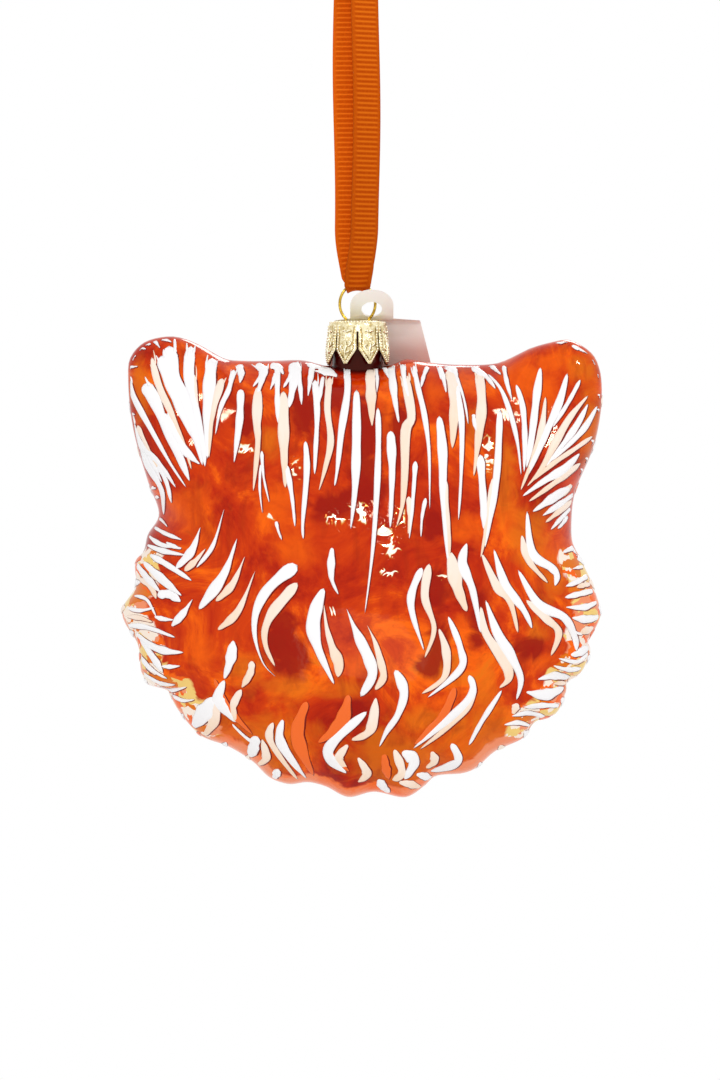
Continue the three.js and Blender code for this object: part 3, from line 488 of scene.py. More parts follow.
class GlassSettings(bpy.types.PropertyGroup):
    """The blown head and its lacquer."""
    centre_x: place("Centre X", "Middle of the head across", 0.9)
    centre_z: place("Centre Z", "Middle of the head up", -129.66)
    back_depth: length("Back depth", "How far the back of the head swells", 21)
    front_depth: length("Front depth", "How far the face side swells", 17)
    skull_width: length("Skull width", "Width of the skull without ears and tufts", 97)
    skull_height: length("Skull height", "Height of the skull without ears and tufts", 89)
    neck_radius: length("Neck radius", "Outside of the glass neck", 5.25)
    bore_radius: length("Bore radius", "Inside of the glass neck", 4.25)
    neck_top: place("Neck top", "Height of the neck's lip", -78.11)
    neck_foot: place("Neck foot", "Height of the neck's join in the head", -92)
    bore_foot: place("Bore foot", "Height of the bore's end", -99)
    waviness: length("Waviness", "Uneven thickness of hand-blown glass", 0.2)
    fluting: length("Fluting", "Depth of the moulded fur lines", 0.05)
    smear: share_of("Smear", "How far the washes on the cheeks are smeared", 0.0032)
    facets: IntProperty(name="Facets", description="Grid lines across each side of the skin", default=95, min=8)
    orange: colour("Orange lacquer", "The lacquer's main colour", (212, 61, 3))
    red_orange: colour("Red-orange lacquer", "Where the lacquer is thicker", (189, 38, 3))
    bright: colour("Bright lacquer", "Where the lacquer is thin", (250, 102, 5))
    amber: colour("Amber lacquer", "Where the lacquer is thinnest", (228, 115, 14))
    crimson: colour("Crimson pools", "Where the lacquer has pooled", (153, 11, 4))
    run: colour("Lacquer runs", "Darker streaks where the lacquer has run down", (150, 28, 4))
    # Bright rim: thin lacquer, and a painted glow of light shining through the thin bottom edge
    rim: colour("Bright rim", "Thin lacquer on the rim", (250, 134, 84))
    salmon: colour("Salmon wash", "Pink wash on the cheeks", (244, 146, 104))
    # Neck shade: thick lacquer and painted shade under the cap
    maroon: colour("Neck shade", "Dark lacquer round the neck", (62, 4, 4))
    gold: colour("Gold wash", "Gold wash on the cheeks", (246, 208, 122))
    pale: colour("Pale wash", "Palest wash on the cheeks", (254, 238, 222))
    # Painted glints: white highlights with yellow edges, painted along the glass's creases
    painted_glint: colour("Bare silver", "Silvering that shines through along the creases", (255, 251, 240))
    painted_glint_edge: colour("Silver edge", "Yellow edge of the bare silvering", (255, 204, 74))


class EnamelSettings(bpy.types.PropertyGroup):
    """The raised brush strokes and the painted face."""
    height: length("Stroke height", "How far a stroke stands off the glass", 0.26)
    # The shade width and shade colour are of the dark line beside each stroke: partly dark lacquer, partly painted
    # shadow
    shade_width: length("Shade width", "Dark line that shows beside a stroke", 0.1)
    white: colour("White enamel", "Main fur strokes", (250, 249, 250))
    white_thin: colour("Thin white", "Thin ends of the white strokes", (248, 246, 247))
    cream: colour("Cream enamel", "Second fur strokes", (253, 234, 218))
    peach: colour("Peach enamel", "Thin ends of the cream strokes", (250, 222, 196))
    orange: colour("Orange enamel", "Opaque orange strokes", (244, 108, 36))
    shade: colour("Stroke shade", "Dark lacquer beside the strokes", (132, 18, 4))
    line: colour("Face lines", "Dark lines and stripes of the face", (92, 34, 16))
    line_thin: colour("Thin lines", "Thin ends of the face lines", (120, 52, 22))
    pink: colour("Pink enamel", "Nose and ear hollows", (240, 150, 136))
    pink_thin: colour("Thin pink", "Thin edges of the pink enamel", (248, 186, 170))
    iris: colour("Iris", "Green-gold eyes", (150, 160, 40))
    iris_thin: colour("Thin iris", "Gold edges of the eyes", (206, 176, 54))
    pupil: colour("Pupil", "Black of the eyes", (18, 14, 14))
    pupil_thin: colour("Thin pupil", "Thin edges of the pupils", (26, 20, 18))


class CapSettings(bpy.types.PropertyGroup):
    """The pressed crown cap."""
    top_z: place("Cap top", "Height of the cap's flat top", -76.96)
    top_radius: length("Top radius", "Radius under the shoulder", 6)
    rim_radius: length("Rim radius", "Radius at the petals' tips", 6.7)
    height: length("Cap height", "From the top to the petals' tips", 9)
    shoulder: length("Shoulder", "Radius of the rolled shoulder", 1)
    wall: length("Wall", "Thickness of the sheet", 0.4)
    slit: length("Slit width", "Gap between the petals", 0.4)
    slit_start: length("Slit start", "Below the cap's top", 2.4)
    point: length("Point height", "Height of the petals' points", 3)
    blunt: length("Point width", "Blunt end of each point", 0.6)
    bulge: length("Petal bulge", "How far the middle of a petal swells", 0.16)
    bead: length("Bead radius", "Radius of the pressed beads", 0.23)
    petals: IntProperty(name="Petals", description="Number of petals", default=8, min=3)
    # Painted highlight: the raised pattern gets a brighter gold than the sheet
    highlighted: colour("Rubbed gilt", "Bright gold on the raised pattern", (255, 252, 230))
    gilt: colour("Gilt", "Pale gold plating", (250, 240, 200))
    tarnish: colour("Tarnish", "Dull gold in the hollows", (194, 168, 106))
    # Painted shade: dark lines laid beside the beads and scrolls
    shade_line: colour("Groove", "Dark lines pressed beside the beads and scrolls", (92, 68, 26))


class WireSettings(bpy.types.PropertyGroup):
    """The sprung wire hanger."""
    diameter: length("Wire diameter", "Thickness of the wire", 0.6)
    loop_radius: length("Loop radius", "Half the loop's width, to the middle of the wire", 3.7)
    loop_rise: length("Loop rise", "Half the loop's height, to the middle of the wire", 4.1)
    loop_z: place("Loop height", "Middle of the loop", -73.31)
    leg_x: length("Leg offset", "Where each leg passes the cap", 2.4)
    spring_x: length("Spring offset", "How far each leg springs out in the neck", 3.65)
    foot_z: place("Foot height", "Ends of the legs", -95.96)
    brass: colour("Brass", "Yellow brass wire", (214, 180, 76))
    dark_brass: colour("Dark brass", "Drawn marks along the wire", (150, 112, 24))


class TagSettings(bpy.types.PropertyGroup):
    """The bare card tag."""
    edge: length("Edge round", "Rounding of the cut edges", 0.06)
    card: colour("Card", "Cream face of the card", (255, 253, 247))
    # Painted reflected light: the pink tints low on the card stand in for orange light from the glass
    painted_bounce: colour("Blush", "Pink tint low on the card", (232, 202, 192))
    foot: colour("Foot", "Deepest pink at the card's foot", (214, 174, 160))
    fibre: colour("Fibres", "Pale paper fibres", (255, 253, 249))


class RibbonSettings(bpy.types.PropertyGroup):
    """The hanging loop of grosgrain ribbon and its knot."""
    drop: length("Drop", "From the hang point to the fold", 70.2)
    rise: length("Rise", "How far the legs run up into the knot", 2.4)
    width: length("Width", "Width of the ribbon", 6.35)
    thickness: length("Thickness", "Thickness of the ribbon", 0.4)
    fold_radius: length("Fold radius", "Middle of the ribbon round the fold", 1.225)
    fold_arch: length("Fold arch", "Radius of the fold's bend along the wire", 4)
    fold_width: length("Fold width", "Width of the ribbon pinched under the wire", 4.5)
    corner_flare: length("Corner flare", "How far the fold's front corners stand off the wire", 1.5)
    front_twist: angle("Front leg twist", "How far the front leg is turned from the viewer", 30)
    front_shift: place("Front leg shift", "How far the front leg hangs aside", 1.72)
    rear_shift: place("Rear leg shift", "How far the rear leg hangs aside", -1.75)
    eye_taper: length("Gather", "Length over which the legs gather under the knot", 9)
    eye_width: length("Gathered width", "Width of the legs under the knot", 3.0)
    rib_pitch: length("Rib pitch", "From one rib to the next", 1.0)
    rib_height: length("Rib height", "Height of a rib", 0.09)
    selvage: length("Selvage", "Plain woven edge", 0.85)
    knot_width: length("Knot width", "Across the knot", 9.5)
    knot_depth: length("Knot depth", "Front to back of the knot", 7)
    knot_height: length("Knot height", "Height of the knot", 6.5)
    knot_z: place("Knot middle", "Height of the knot's middle", 5.05)
    tail: length("Tail length", "From the knot's middle to the cut end", 13)
    tail_notch: length("Tail notch", "Depth of the swallow-tail cut", 2.4)
    tail_spread: angle("Tail spread", "How far each tail leans out", 24)
    tail_tilt: angle("Tail tilt", "How far each tail leans forward or back", 12)
    # Painted highlight on the tops of the ribs and painted shade between them
    rib: colour("Rib", "Top of the ribs", (255, 128, 26))
    ground: colour("Ground", "Between the ribs", (206, 80, 2))
    yarn: colour("Yarn", "Fine yarns across the ribs", (255, 124, 20))
    shade: colour("Shaded leg", "Tint of the leg that turns from the light", (212, 208, 170))


class OrnamentSettings(bpy.types.PropertyGroup):
    """All the settings of the ornament."""
    stage: PointerProperty(type=StageSettings)
    glass: PointerProperty(type=GlassSettings)
    enamel: PointerProperty(type=EnamelSettings)
    cap: PointerProperty(type=CapSettings)
    wire: PointerProperty(type=WireSettings)
    tag: PointerProperty(type=TagSettings)
    ribbon: PointerProperty(type=RibbonSettings)


class Finish:
    """A procedural material: adds and joins the nodes of one finish."""

    mix_share, mix_colours, mix_result = 0, (6, 7), 2

    def __init__(self, name):
        self.material = bpy.data.materials.new(name)
        self.material.use_nodes = True
        self.tree = self.material.node_tree
        self.shader = self.tree.nodes["Principled BSDF"]

    def set(self, **sockets):
        for name, value in sockets.items():
            self.shader.inputs[name.replace("_", " ")].default_value = value

    def feed(self, socket, output):
        self.tree.links.new(output, self.shader.inputs[socket])

    def fill(self, socket, value):
        """Links another node's output to a socket, or sets the socket's own value."""
        if isinstance(value, bpy.types.NodeSocket):
            self.tree.links.new(value, socket)
        else:
            socket.default_value = value

    def node(self, kind, **sockets):
        made = self.tree.nodes.new(kind)
        for name, value in sockets.items():
            self.fill(made.inputs[name.replace("_", " ")], value)
        return made

    def object_coordinates(self, scale=(1, 1, 1)):
        coordinates = self.tree.nodes.new("ShaderNodeTexCoord").outputs["Object"]
        return self.node("ShaderNodeMapping", Vector=coordinates, Scale=scale).outputs["Vector"]

    def attribute(self, name):
        made = self.tree.nodes.new("ShaderNodeAttribute")
        made.attribute_name = name
        return made.outputs["Fac"]

    def noise(self, vector, scale, detail=3.0, roughness=0.5, distortion=0.0):
        return self.node("ShaderNodeTexNoise", Vector=vector, Scale=scale, Detail=detail,
                         Roughness=roughness, Distortion=distortion).outputs["Fac"]

    def between(self, value, low, high, start=0.0, end=1.0, smooth=False):
        """How far a value has come from low to high, as a share that runs from start to end."""
        made = self.node("ShaderNodeMapRange", Value=value, From_Min=low, From_Max=high, To_Min=start, To_Max=end)
        if smooth:
            made.interpolation_type = "SMOOTHSTEP"
        return made.outputs["Result"]

    def math(self, operation, first, second=0.0):
        made = self.tree.nodes.new("ShaderNodeMath")
        made.operation = operation
        for socket, value in zip(made.inputs, (first, second)):
            self.fill(socket, value)
        return made.outputs[0]

    def ramp(self, share, stops, interpolation="LINEAR"):
        made = self.node("ShaderNodeValToRGB", Fac=share)
        made.color_ramp.interpolation = interpolation
        elements = made.color_ramp.elements
        while len(elements) < len(stops):
            elements.new(0.5)
        for element, (position, tint) in zip(elements, stops):
            element.position = position
            element.color = (*tint, 1.0)
        return made.outputs["Color"]

    def mix(self, share, first, second, blend="MIX"):
        made = self.tree.nodes.new("ShaderNodeMix")
        made.data_type = "RGBA"
        made.blend_type = blend
        self.fill(made.inputs[self.mix_share], share)
        for socket, tint in zip(self.mix_colours, (first, second)):
            self.fill(made.inputs[socket], tint if isinstance(tint, bpy.types.NodeSocket) else (*tint, 1.0))
        return made.outputs[self.mix_result]

    def bump(self, height, distance, strength=1.0):
        return self.node("ShaderNodeBump", Height=height, Distance=distance, Strength=strength).outputs["Normal"]


def lacquer_finish(glass):
    """Translucent orange lacquer: clouds of red and amber, crimson pools, washed cheeks, a thin bright rim with a
    painted glow, a neck darkened partly by painted shade, and painted white and yellow glints along the wrinkles.
    """
    finish = Finish("orange lacquer on glass")
    coordinates = finish.object_coordinates()
    clouds = finish.noise(coordinates, 58, detail=7, roughness=0.66, distortion=1.1)
    tint = finish.ramp(clouds, ((0.3, glass.crimson), (0.42, glass.red_orange), (0.53, glass.orange),
                                (0.63, glass.bright), (0.72, glass.amber), (0.84, glass.orange)))
    frayed = finish.noise(coordinates, 160, detail=6, distortion=1.8)
    ragged = finish.math("MULTIPLY", finish.math("SUBTRACT", frayed, 0.5), 1.3)
    for zone, pooled, strength, full in (("bright", glass.bright, 0.65, 1.0), ("amber", glass.amber, 0.65, 0.9),
                                         ("deep", glass.crimson, 0.9, 0.66)):
        edge = finish.math("ADD", finish.attribute(zone), ragged)
        tint = finish.mix(finish.between(edge, 0.25, full, end=strength), tint, pooled)
    runs = finish.noise(finish.object_coordinates((1.0, 1.0, 0.22)), 210, detail=5, roughness=0.6,
                        distortion=0.6)
    tint = finish.mix(finish.between(runs, 0.52, 0.7, end=0.5), tint, glass.run)
    smears = finish.node("ShaderNodeTexNoise", Vector=coordinates, Scale=240.0, Detail=3.0).outputs["Color"]
    smeared = finish.mix(glass.smear, finish.object_coordinates((0.5, 0.6, 1.2)), smears, "LINEAR_LIGHT")
    cells = finish.node("ShaderNodeTexVoronoi", Vector=smeared, Scale=420.0, Randomness=1.0)
    washes = finish.ramp(cells.outputs["Color"], (
        (0.0, glass.pale), (0.2, glass.amber), (0.34, glass.gold), (0.47, glass.salmon),
        (0.56, glass.pale), (0.68, glass.bright), (0.82, glass.gold)), "CONSTANT")
    # The bottom rim: thin lacquer with a painted glow of light through the thin edge
    thin_glowing_rim = finish.ramp(clouds, ((0.34, glass.bright), (0.46, glass.rim), (0.58, glass.salmon), (0.68, glass.rim)))
    for zone, wash, roughened in (("rim", thin_glowing_rim, 0.5), ("cheek", washes, 0.9)):
        edge = finish.math("ADD", finish.attribute(zone), finish.math("MULTIPLY", ragged, roughened))
        tint = finish.mix(finish.between(edge, 0.4, 0.56), tint, wash)
    # The neck and the crown round it darkened: thick lacquer and painted shade under the cap
    tint = finish.mix(finish.attribute("neck"), tint, glass.maroon)
    # Painted glints: along the creases of the wrinkles the colour turns to painted white and yellow highlights, made
    # metallic
    creased = finish.noise(coordinates, 230, detail=1, distortion=1.6)
    crease = finish.math("ABSOLUTE", finish.math("SUBTRACT", creased, 0.5))
    ridge = finish.between(crease, 0.0, 0.16, start=1.0, end=0.0, smooth=True)
    wrinkles = finish.math("MULTIPLY", ridge, finish.attribute("wrinkle"))
    bare = finish.between(wrinkles, 0.44, 0.58)
    glint_tint = finish.ramp(wrinkles, ((0.48, glass.painted_glint_edge), (0.64, glass.painted_glint)))
    finish.feed("Base Color", finish.mix(bare, tint, glint_tint))
    finish.feed("Metallic", bare)
    ripple = finish.math("MULTIPLY", finish.noise(coordinates, 700, detail=2), 0.02)
    raised = finish.math("ADD", ripple, finish.math("MULTIPLY", wrinkles, 0.14))
    finish.feed("Normal", finish.bump(raised, MM))
    finish.set(Roughness=0.05, IOR=1.5, Specular_IOR_Level=0.16, Specular_Tint=(1.0, 0.86, 0.62, 1.0))
    return finish.material


def enamel_finish(name, body, thin, gloss):
    """Raised enamel paint: brush streaks, a thinner tint at the end of each stroke and a soft gloss."""
    finish = Finish(name)
    coordinates = finish.object_coordinates((1.0, 1.0, 0.35))
    streaks = finish.noise(coordinates, 900)
    share = finish.math("ADD", finish.attribute("along"), finish.math("MULTIPLY", streaks, 0.5))
    finish.feed("Base Color", finish.ramp(share, ((0.55, body), (1.0, thin))))
    finish.feed("Normal", finish.bump(streaks, 0.05 * MM, 0.5))
    finish.set(Roughness=gloss, IOR=1.45, Specular_IOR_Level=0.3)
    return finish.material


def gilt_finish(name, dull, bright):
    """Pale gold plating, its tone and roughness varying at random between a dull and a bright gold."""
    finish = Finish(name)
    coordinates = finish.object_coordinates()
    wear = finish.noise(coordinates, 900, detail=5, roughness=0.65)
    finish.feed("Base Color", finish.ramp(wear, ((0.36, dull), (0.58, bright))))
    finish.feed("Roughness", finish.between(wear, 0.3, 0.7, start=0.34, end=0.16))
    grain = finish.noise(coordinates, 3200)
    finish.feed("Normal", finish.bump(grain, 0.04 * MM, 0.7))
    finish.set(Metallic=1.0)
    return finish.material


def brass_finish(wire):
    """Drawn brass wire with faint marks along it."""
    finish = Finish("drawn brass wire")
    coordinates = finish.object_coordinates()
    marks = finish.noise(coordinates, 1500, detail=4)
    finish.feed("Base Color", finish.ramp(marks, ((0.35, wire.dark_brass), (0.6, wire.brass))))
    finish.feed("Normal", finish.bump(marks, 0.02 * MM, 0.5))
    finish.set(Metallic=1.0, Roughness=0.24)
    return finish.material


def card_finish(tag, top, foot):
    """Uncoated card: paper fibres, and a painted pink reflection of the orange glass that deepens towards the foot."""
    finish = Finish("bare card")
    coordinates = finish.object_coordinates()
    height = finish.node("ShaderNodeSeparateXYZ", Vector=coordinates).outputs["Z"]
    down = finish.between(height, top, foot)
    fibres = finish.noise(finish.object_coordinates((1.0, 0.3, 2.2)), 1400, detail=4)
    tint = finish.ramp(down, ((0.3, tag.card), (0.48, tag.painted_bounce), (1.0, tag.foot)))
    finish.feed("Base Color", finish.mix(finish.math("MULTIPLY", fibres, 0.16), tint, tag.fibre))
    finish.feed("Normal", finish.bump(fibres, 0.03 * MM, 0.5))
    finish.set(Roughness=0.62, Specular_IOR_Level=0.25, Subsurface_Weight=0.12,
               Subsurface_Radius=(0.001, 0.0006, 0.0004))
    return finish.material


def grosgrain_finish(ribbon):
    """Grosgrain: ribs painted bright as a highlight over a ground painted darker as shade, fine yarns across each rib,
    a plain selvage and a painted shade on the leg turned from the light.
    """
    finish = Finish("orange grosgrain")
    rib = finish.attribute("rib")
    yarns = finish.noise(finish.object_coordinates((1.0, 1.0, 0.4)), 2600)
    tint = finish.mix(rib, ribbon.ground, ribbon.rib)
    tint = finish.mix(finish.math("MULTIPLY", finish.math("SUBTRACT", yarns, 0.45), 0.6), tint, ribbon.yarn)
    finish.feed("Base Color", finish.mix(finish.attribute("shade"), tint, ribbon.shade, "MULTIPLY"))
    finish.feed("Normal", finish.bump(yarns, 0.05 * MM, 0.6))
    finish.set(Roughness=0.7, Specular_IOR_Level=0.03)
    return finish.material


def mesh_of(name, shape):
    """Turns a bmesh into a mesh and frees it."""
    mesh = bpy.data.meshes.new(name)
    shape.to_mesh(mesh)
    shape.free()
    return mesh


def put_in_scene(name, data):
    """An object that holds a mesh, a curve, a lamp or the camera."""
    made = bpy.data.objects.new(name, data)
    bpy.context.scene.collection.objects.link(made)
    return made


def shaped_mesh(context, made):
    """The mesh that an object has after its modifiers or its bevel."""
    context.view_layer.update()
    return bpy.data.meshes.new_from_object(made.evaluated_get(context.evaluated_depsgraph_get()))


def spin_round(shape, profile, steps, start=0.0):
    """Turns a profile of radii and heights full round the upright axis, from a start angle."""
    line = [shape.verts.new((radius, 0, z)) for radius, z in profile]
    edges = [shape.edges.new(pair) for pair in zip(line, line[1:])]
    bmesh.ops.rotate(shape, verts=line, cent=(0, 0, 0), matrix=Matrix.Rotation(start, 3, "Z"))
    bmesh.ops.spin(shape, geom=line + edges, cent=(0, 0, 0), axis=(0, 0, 1), angle=2 * math.pi, steps=steps,
                   use_merge=True)


def finish_piece(name, shape, material, body, replaced=()):
    """Turns a bmesh into a finished piece that rides on a body."""
    bmesh.ops.recalc_face_normals(shape, faces=shape.faces)
    mesh = mesh_of(name, shape)
    mesh.polygons.foreach_set("use_smooth", [True] * len(mesh.polygons))
    mesh.materials.append(material)
    piece = put_in_scene(name, mesh)
    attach(piece, body)
    if replaced:
        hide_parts(*replaced)
    return piece


def curve_through(points, share):
    """A point on the smooth line through the points, from 0 at the first to 1 at the last."""
    spans = len(points) - 1
    span = min(int(share * spans), spans - 1)
    t = share * spans - span
    before, start, end, after = (points[min(max(span + k, 0), spans)] for k in (-1, 0, 1, 2))
    lean_in = (end - before) * 0.5
    lean_out = (after - start) * 0.5
    return (start * (2 * t ** 3 - 3 * t ** 2 + 1) + lean_in * (t ** 3 - 2 * t ** 2 + t)
            + end * (3 * t ** 2 - 2 * t ** 3) + lean_out * (t ** 3 - t ** 2))


class HeadForm:
    """The moulded head: outline, ears, fur tufts and face about the head's centre."""

    def __init__(self, glass):
        self.glass = glass
        self.centre = Vector((glass.centre_x, 0.0, glass.centre_z))
        samples = sorted(self.outline_samples())
        self.angles = [sample[0] for sample in samples]
        self.radii = [sample[1] for sample in samples]
        turns = [2 * math.pi * k / OUTLINE_TURNS - math.pi for k in range(OUTLINE_TURNS)]
        self.rim_table = [self.measured_radius(turn) for turn in turns]
        offsets = (-1, -0.5, 0, 0.5, 1)
        self.soft_table = [sum(self.rim(turn + TUFT_SPAN * k) for k in offsets) / len(offsets) for turn in turns]

    def outline_samples(self):
        corners = [Vector(corner) * MM for run in OUTLINE.values() for corner in run]
        count = len(corners)
        for i in range(count):
            before, start, end, after = (corners[(i + k) % count] for k in (-1, 0, 1, 2))
            first, middle, last = ((b - a).length ** 0.5 for a, b in ((before, start), (start, end), (end, after)))
            lean_in = ((start - before) / first - (end - before) / (first + middle) + (end - start) / middle) * middle
            lean_out = ((end - start) / middle - (after - start) / (middle + last) + (after - end) / last) * middle
            for step in range(OUTLINE_STEPS):
                t = step / OUTLINE_STEPS
                point = (start + lean_in * t + ((end - start) * 3 - lean_in * 2 - lean_out) * t ** 2
                         + ((start - end) * 2 + lean_in + lean_out) * t ** 3)
                yield math.atan2(point.y, point.x), point.length

    def measured_radius(self, turn):
        after = bisect.bisect_left(self.angles, turn) % len(self.angles)
        span = (self.angles[after] - self.angles[after - 1]) % (2 * math.pi)
        gone = (turn - self.angles[after - 1]) % (2 * math.pi)
        return lerp(self.radii[after - 1], self.radii[after], gone / span if span else 0.0)

    def looked_up(self, table, turn):
        position = (turn + math.pi) / (2 * math.pi) * OUTLINE_TURNS
        low = math.floor(position)
        return lerp(table[low % OUTLINE_TURNS], table[(low + 1) % OUTLINE_TURNS], position - low)

    def rim(self, turn):
        return self.looked_up(self.rim_table, turn)

    def soft(self, turn):
        return self.looked_up(self.soft_table, turn)

    def skull(self, turn):
        across = math.cos(turn) / (self.glass.skull_width / 2)
        up = math.sin(turn) / (self.glass.skull_height / 2)
        return 1 / math.hypot(across, up)

    def relief(self, u, v):
        total = 0.0
        for (at_u, at_v), (wide, high), rise in FACE_RELIEF.values():
            across = (abs(u) / MM - at_u) / wide
            up = (v / MM - at_v) / high
            total += rise * MM * math.exp(-across * across - up * up)
        return total

    def skin(self, direction):
        """Where a direction from the centre meets the outside of the glass."""
        share = min(1.0, math.hypot(direction.x, direction.z))
        turn = math.atan2(direction.z, direction.x)
        soft = self.soft(turn)
        tuft = self.rim(turn) - soft
        grown = smoothstep(share, TUFT_START, 1)
        edge = soft + tuft * grown
        u = share * edge * math.cos(turn)
        v = share * edge * math.sin(turn)
        reach = lerp(self.skull(turn), edge, smoothstep(share, EAR_START, 1))
        dome = max(0.0, 1 - (share * edge / reach) ** 2) ** (RIM_FULLNESS / 2)
        ear = smoothstep((math.cos(EAR_ANGLE) * abs(u) + math.sin(EAR_ANGLE) * v) / MM, EAR_FOOT, EAR_TIP)
        depth = self.glass.front_depth + self.relief(u, v) if direction.y > 0 else self.glass.back_depth
        depth *= (1 - EAR_THINNING * ear) * (1 + TUFT_RELIEF * tuft / MM * grown)
        return self.centre + Vector((u, math.copysign(depth * dome, direction.y), v))

    def edge_share(self, u, v):
        return math.hypot(u, v) / self.rim(math.atan2(v, u))

    def kept_inside(self, u, v, most=0.985):
        share = self.edge_share(u, v)
        return (u, v) if share <= most else (u * most / share, v * most / share)


class GlassSurface:
    """Finds the glass under a point of the head's grid, on its back or its face side."""

    def __init__(self, form, side):
        self.form = form
        self.side = side
        head = bpy.data.objects["glass_head"]
        self.tree = BVHTree.FromPolygons([v.co for v in head.data.vertices],
                                         [p.vertices for p in head.data.polygons])

    def __call__(self, u, v):
        u, v = self.form.kept_inside(u, v)
        start = self.form.centre + Vector((u, self.side, v))
        spot, normal, _, _ = self.tree.ray_cast(start, Vector((0, -self.side, 0)))
        if spot is None:
            raise RuntimeError(f"no glass under the stroke at {u:.4f}, {v:.4f}")
        return spot, normal


class EdgeSurface(GlassSurface):
    """Finds the glass round the edge of the head, by the way round it and the way across it to the face."""

    def __call__(self, around, across):
        turn = around / (self.form.glass.skull_width / 2)
        outward = Vector((math.cos(turn), 0, math.sin(turn)))
        start = self.form.centre + outward * self.form.glass.skull_width + Vector((0, across, 0))
        spot, normal, _, _ = self.tree.ray_cast(start, -outward)
        if spot is None:
            raise RuntimeError(f"no glass round the edge at {around:.4f}, {across:.4f}")
        return spot, normal


def swell(share, head=0.12, point=2.4, fullness=0.8):
    """A brush stroke's width along it: a round start and a long point."""
    return min(1.0, (share / head) ** 0.5) * max(0.0, 1 - share ** point) ** fullness


def comma(share, head=0.1, point=1.4):
    """A stroke with a broad round head and a long thin tail."""
    return min(1.0, (share / head) ** 0.5) * (1 - share) ** point


def round_ended(share, ends=12):
    """A line of even width with round ends."""
    return min(1.0, (ends * share) ** 0.5, (ends * (1 - share)) ** 0.5)


def pointed(lean, fullness):
    """The width along a stroke that is pointed at both ends; lean moves its broadest place."""
    return lambda share: math.sin(math.pi * share ** lean) ** fullness


quill = pointed(lean=0.85, fullness=0.75)
flick = pointed(lean=1.7, fullness=0.7)
lance = pointed(lean=0.6, fullness=0.8)
leaf = pointed(lean=1.0, fullness=0.7)

STROKE_PROFILES = {
    "right ear": quill, "left cheek": quill, "right cheek": quill, "right body": quill, "cheeks": quill,
    "left leaves": quill, "chin": quill, "left body": flick, "drops": flick, "comma": comma, "leaves": lance,
}


def scattered(spot, across, up):
    """A made-up number for a spot, so that strokes beside each other differ."""
    return spot.x * across + spot.y * up


def split_ends(group, points, width):
    """Short hairs beside the upper end of a broad stroke, where the brush has run dry."""
    start, inner, last = Vector(points[0]), Vector(points[1]), Vector(points[-1])
    if width < DRY_WIDTH or (last - start).length < DRY_LENGTH or start.y < DRY_ABOVE.get(group, math.inf):
        return
    out = (start - inner).normalized()
    across = Vector((-out.y, out.x))
    for side in (-1, 1):
        reach = 2.4 + 1.1 * math.sin(scattered(start, 31, 17) + 5 * side)
        root = start - out * (2.2 + 0.5 * side) + across * side * width * 0.36
        yield root, root + out * reach + across * side * 0.22


def new_painting():
    shape = bmesh.new()
    shape.verts.layers.float.new("along")
    return shape


def ball_mould(sides, rings):
    """A ball of radius 1, made once and kept to shape strokes, patches and beads from."""
    name = f"ball_mould_{sides}_{rings}"
    mould = bpy.data.meshes.get(name)
    if mould is None:
        ball = new_painting()
        bmesh.ops.create_uvsphere(ball, u_segments=sides, v_segments=rings, radius=1.0)
        mould = mesh_of(name, ball)
    return mould


def add_ball(shape, sides, rings):
    """Adds a ball of radius 1 and gives its vertices."""
    before = len(shape.verts)
    shape.from_mesh(ball_mould(sides, rings))
    shape.verts.ensure_lookup_table()
    return shape.verts[before:]


def add_bead(shape, spot, radius):
    for vert in add_ball(shape, *BEAD_GRID):
        vert.co = spot + vert.co * radius


def add_stroke(shape, surface, points, width, height, sides, rings, profile=swell, spread=0.0, shift=(0, 0)):
    """A raised stroke of paint laid on a surface along the points."""
    line = [(Vector(point) + Vector(shift)) * MM for point in points]
    start = line[0]
    if len(line) == 2:
        side = math.copysign(1, math.sin(scattered(start, 900, 700)))
        bow = (line[1] - start).orthogonal() * STROKE_BOW * side
        line.insert(1, (start + line[1]) / 2 + bow)
    unevenness = scattered(start, 4000, 3000)
    ball = add_ball(shape, sides, rings)
    layer = shape.verts.layers.float["along"]
    for vert in ball:
        share = math.acos(max(-1.0, min(1.0, vert.co.z))) / math.pi
        left = 1 - share
        around = math.atan2(vert.co.y, vert.co.x)
        ahead = (curve_through(line, min(1.0, share + STROKE_STEP))
                 - curve_through(line, max(0.0, share - STROKE_STEP)))
        across = Vector((-ahead.y, ahead.x)).normalized()
        wobble = sum((depth * math.sin(share * waves + phase * unevenness)
                      for depth, waves, phase in STROKE_WOBBLE), 1)
        half = width * MM / 2 * profile(share) * wobble + spread * min(1.0, SPREAD_EASE * share, SPREAD_EASE * left)
        spot = curve_through(line, share) + across * half * math.cos(around)
        base, normal = surface(spot.x, spot.y)
        up = math.copysign(abs(math.sin(around)) ** STROKE_CROWN, math.sin(around)) if 0 < share < 1 else 0.0
        vert.co = base + normal * up * height * min(1.0, HEIGHT_EASE * share, HEIGHT_EASE * left)
        vert[layer] = share


def add_patch(shape, surface, middle, radii, height, outline, sides=40, rings=14):
    """A raised patch of paint whose outline is a radius share by angle about its middle, in millimetres."""
    ball = add_ball(shape, sides, rings)
    layer = shape.verts.layers.float["along"]
    for vert in ball:
        out = math.hypot(vert.co.x, vert.co.y)
        around = math.atan2(vert.co.y, vert.co.x)
        reach = out * outline(around)
        u = (middle[0] + radii[0] * reach * math.cos(around)) * MM
        v = (middle[1] + radii[1] * reach * math.sin(around)) * MM
        base, normal = surface(u, v)
        vert[layer] = out * PATCH_THINNING
        vert.co = base + normal * vert.co.z * height * MM


def round_outline(around):
    return 1.0


def ragged_outline(around):
    """A patch with a wavy, furry edge."""
    return 1 + 0.07 * math.sin(9 * around) + 0.05 * math.sin(14 * around + 1)


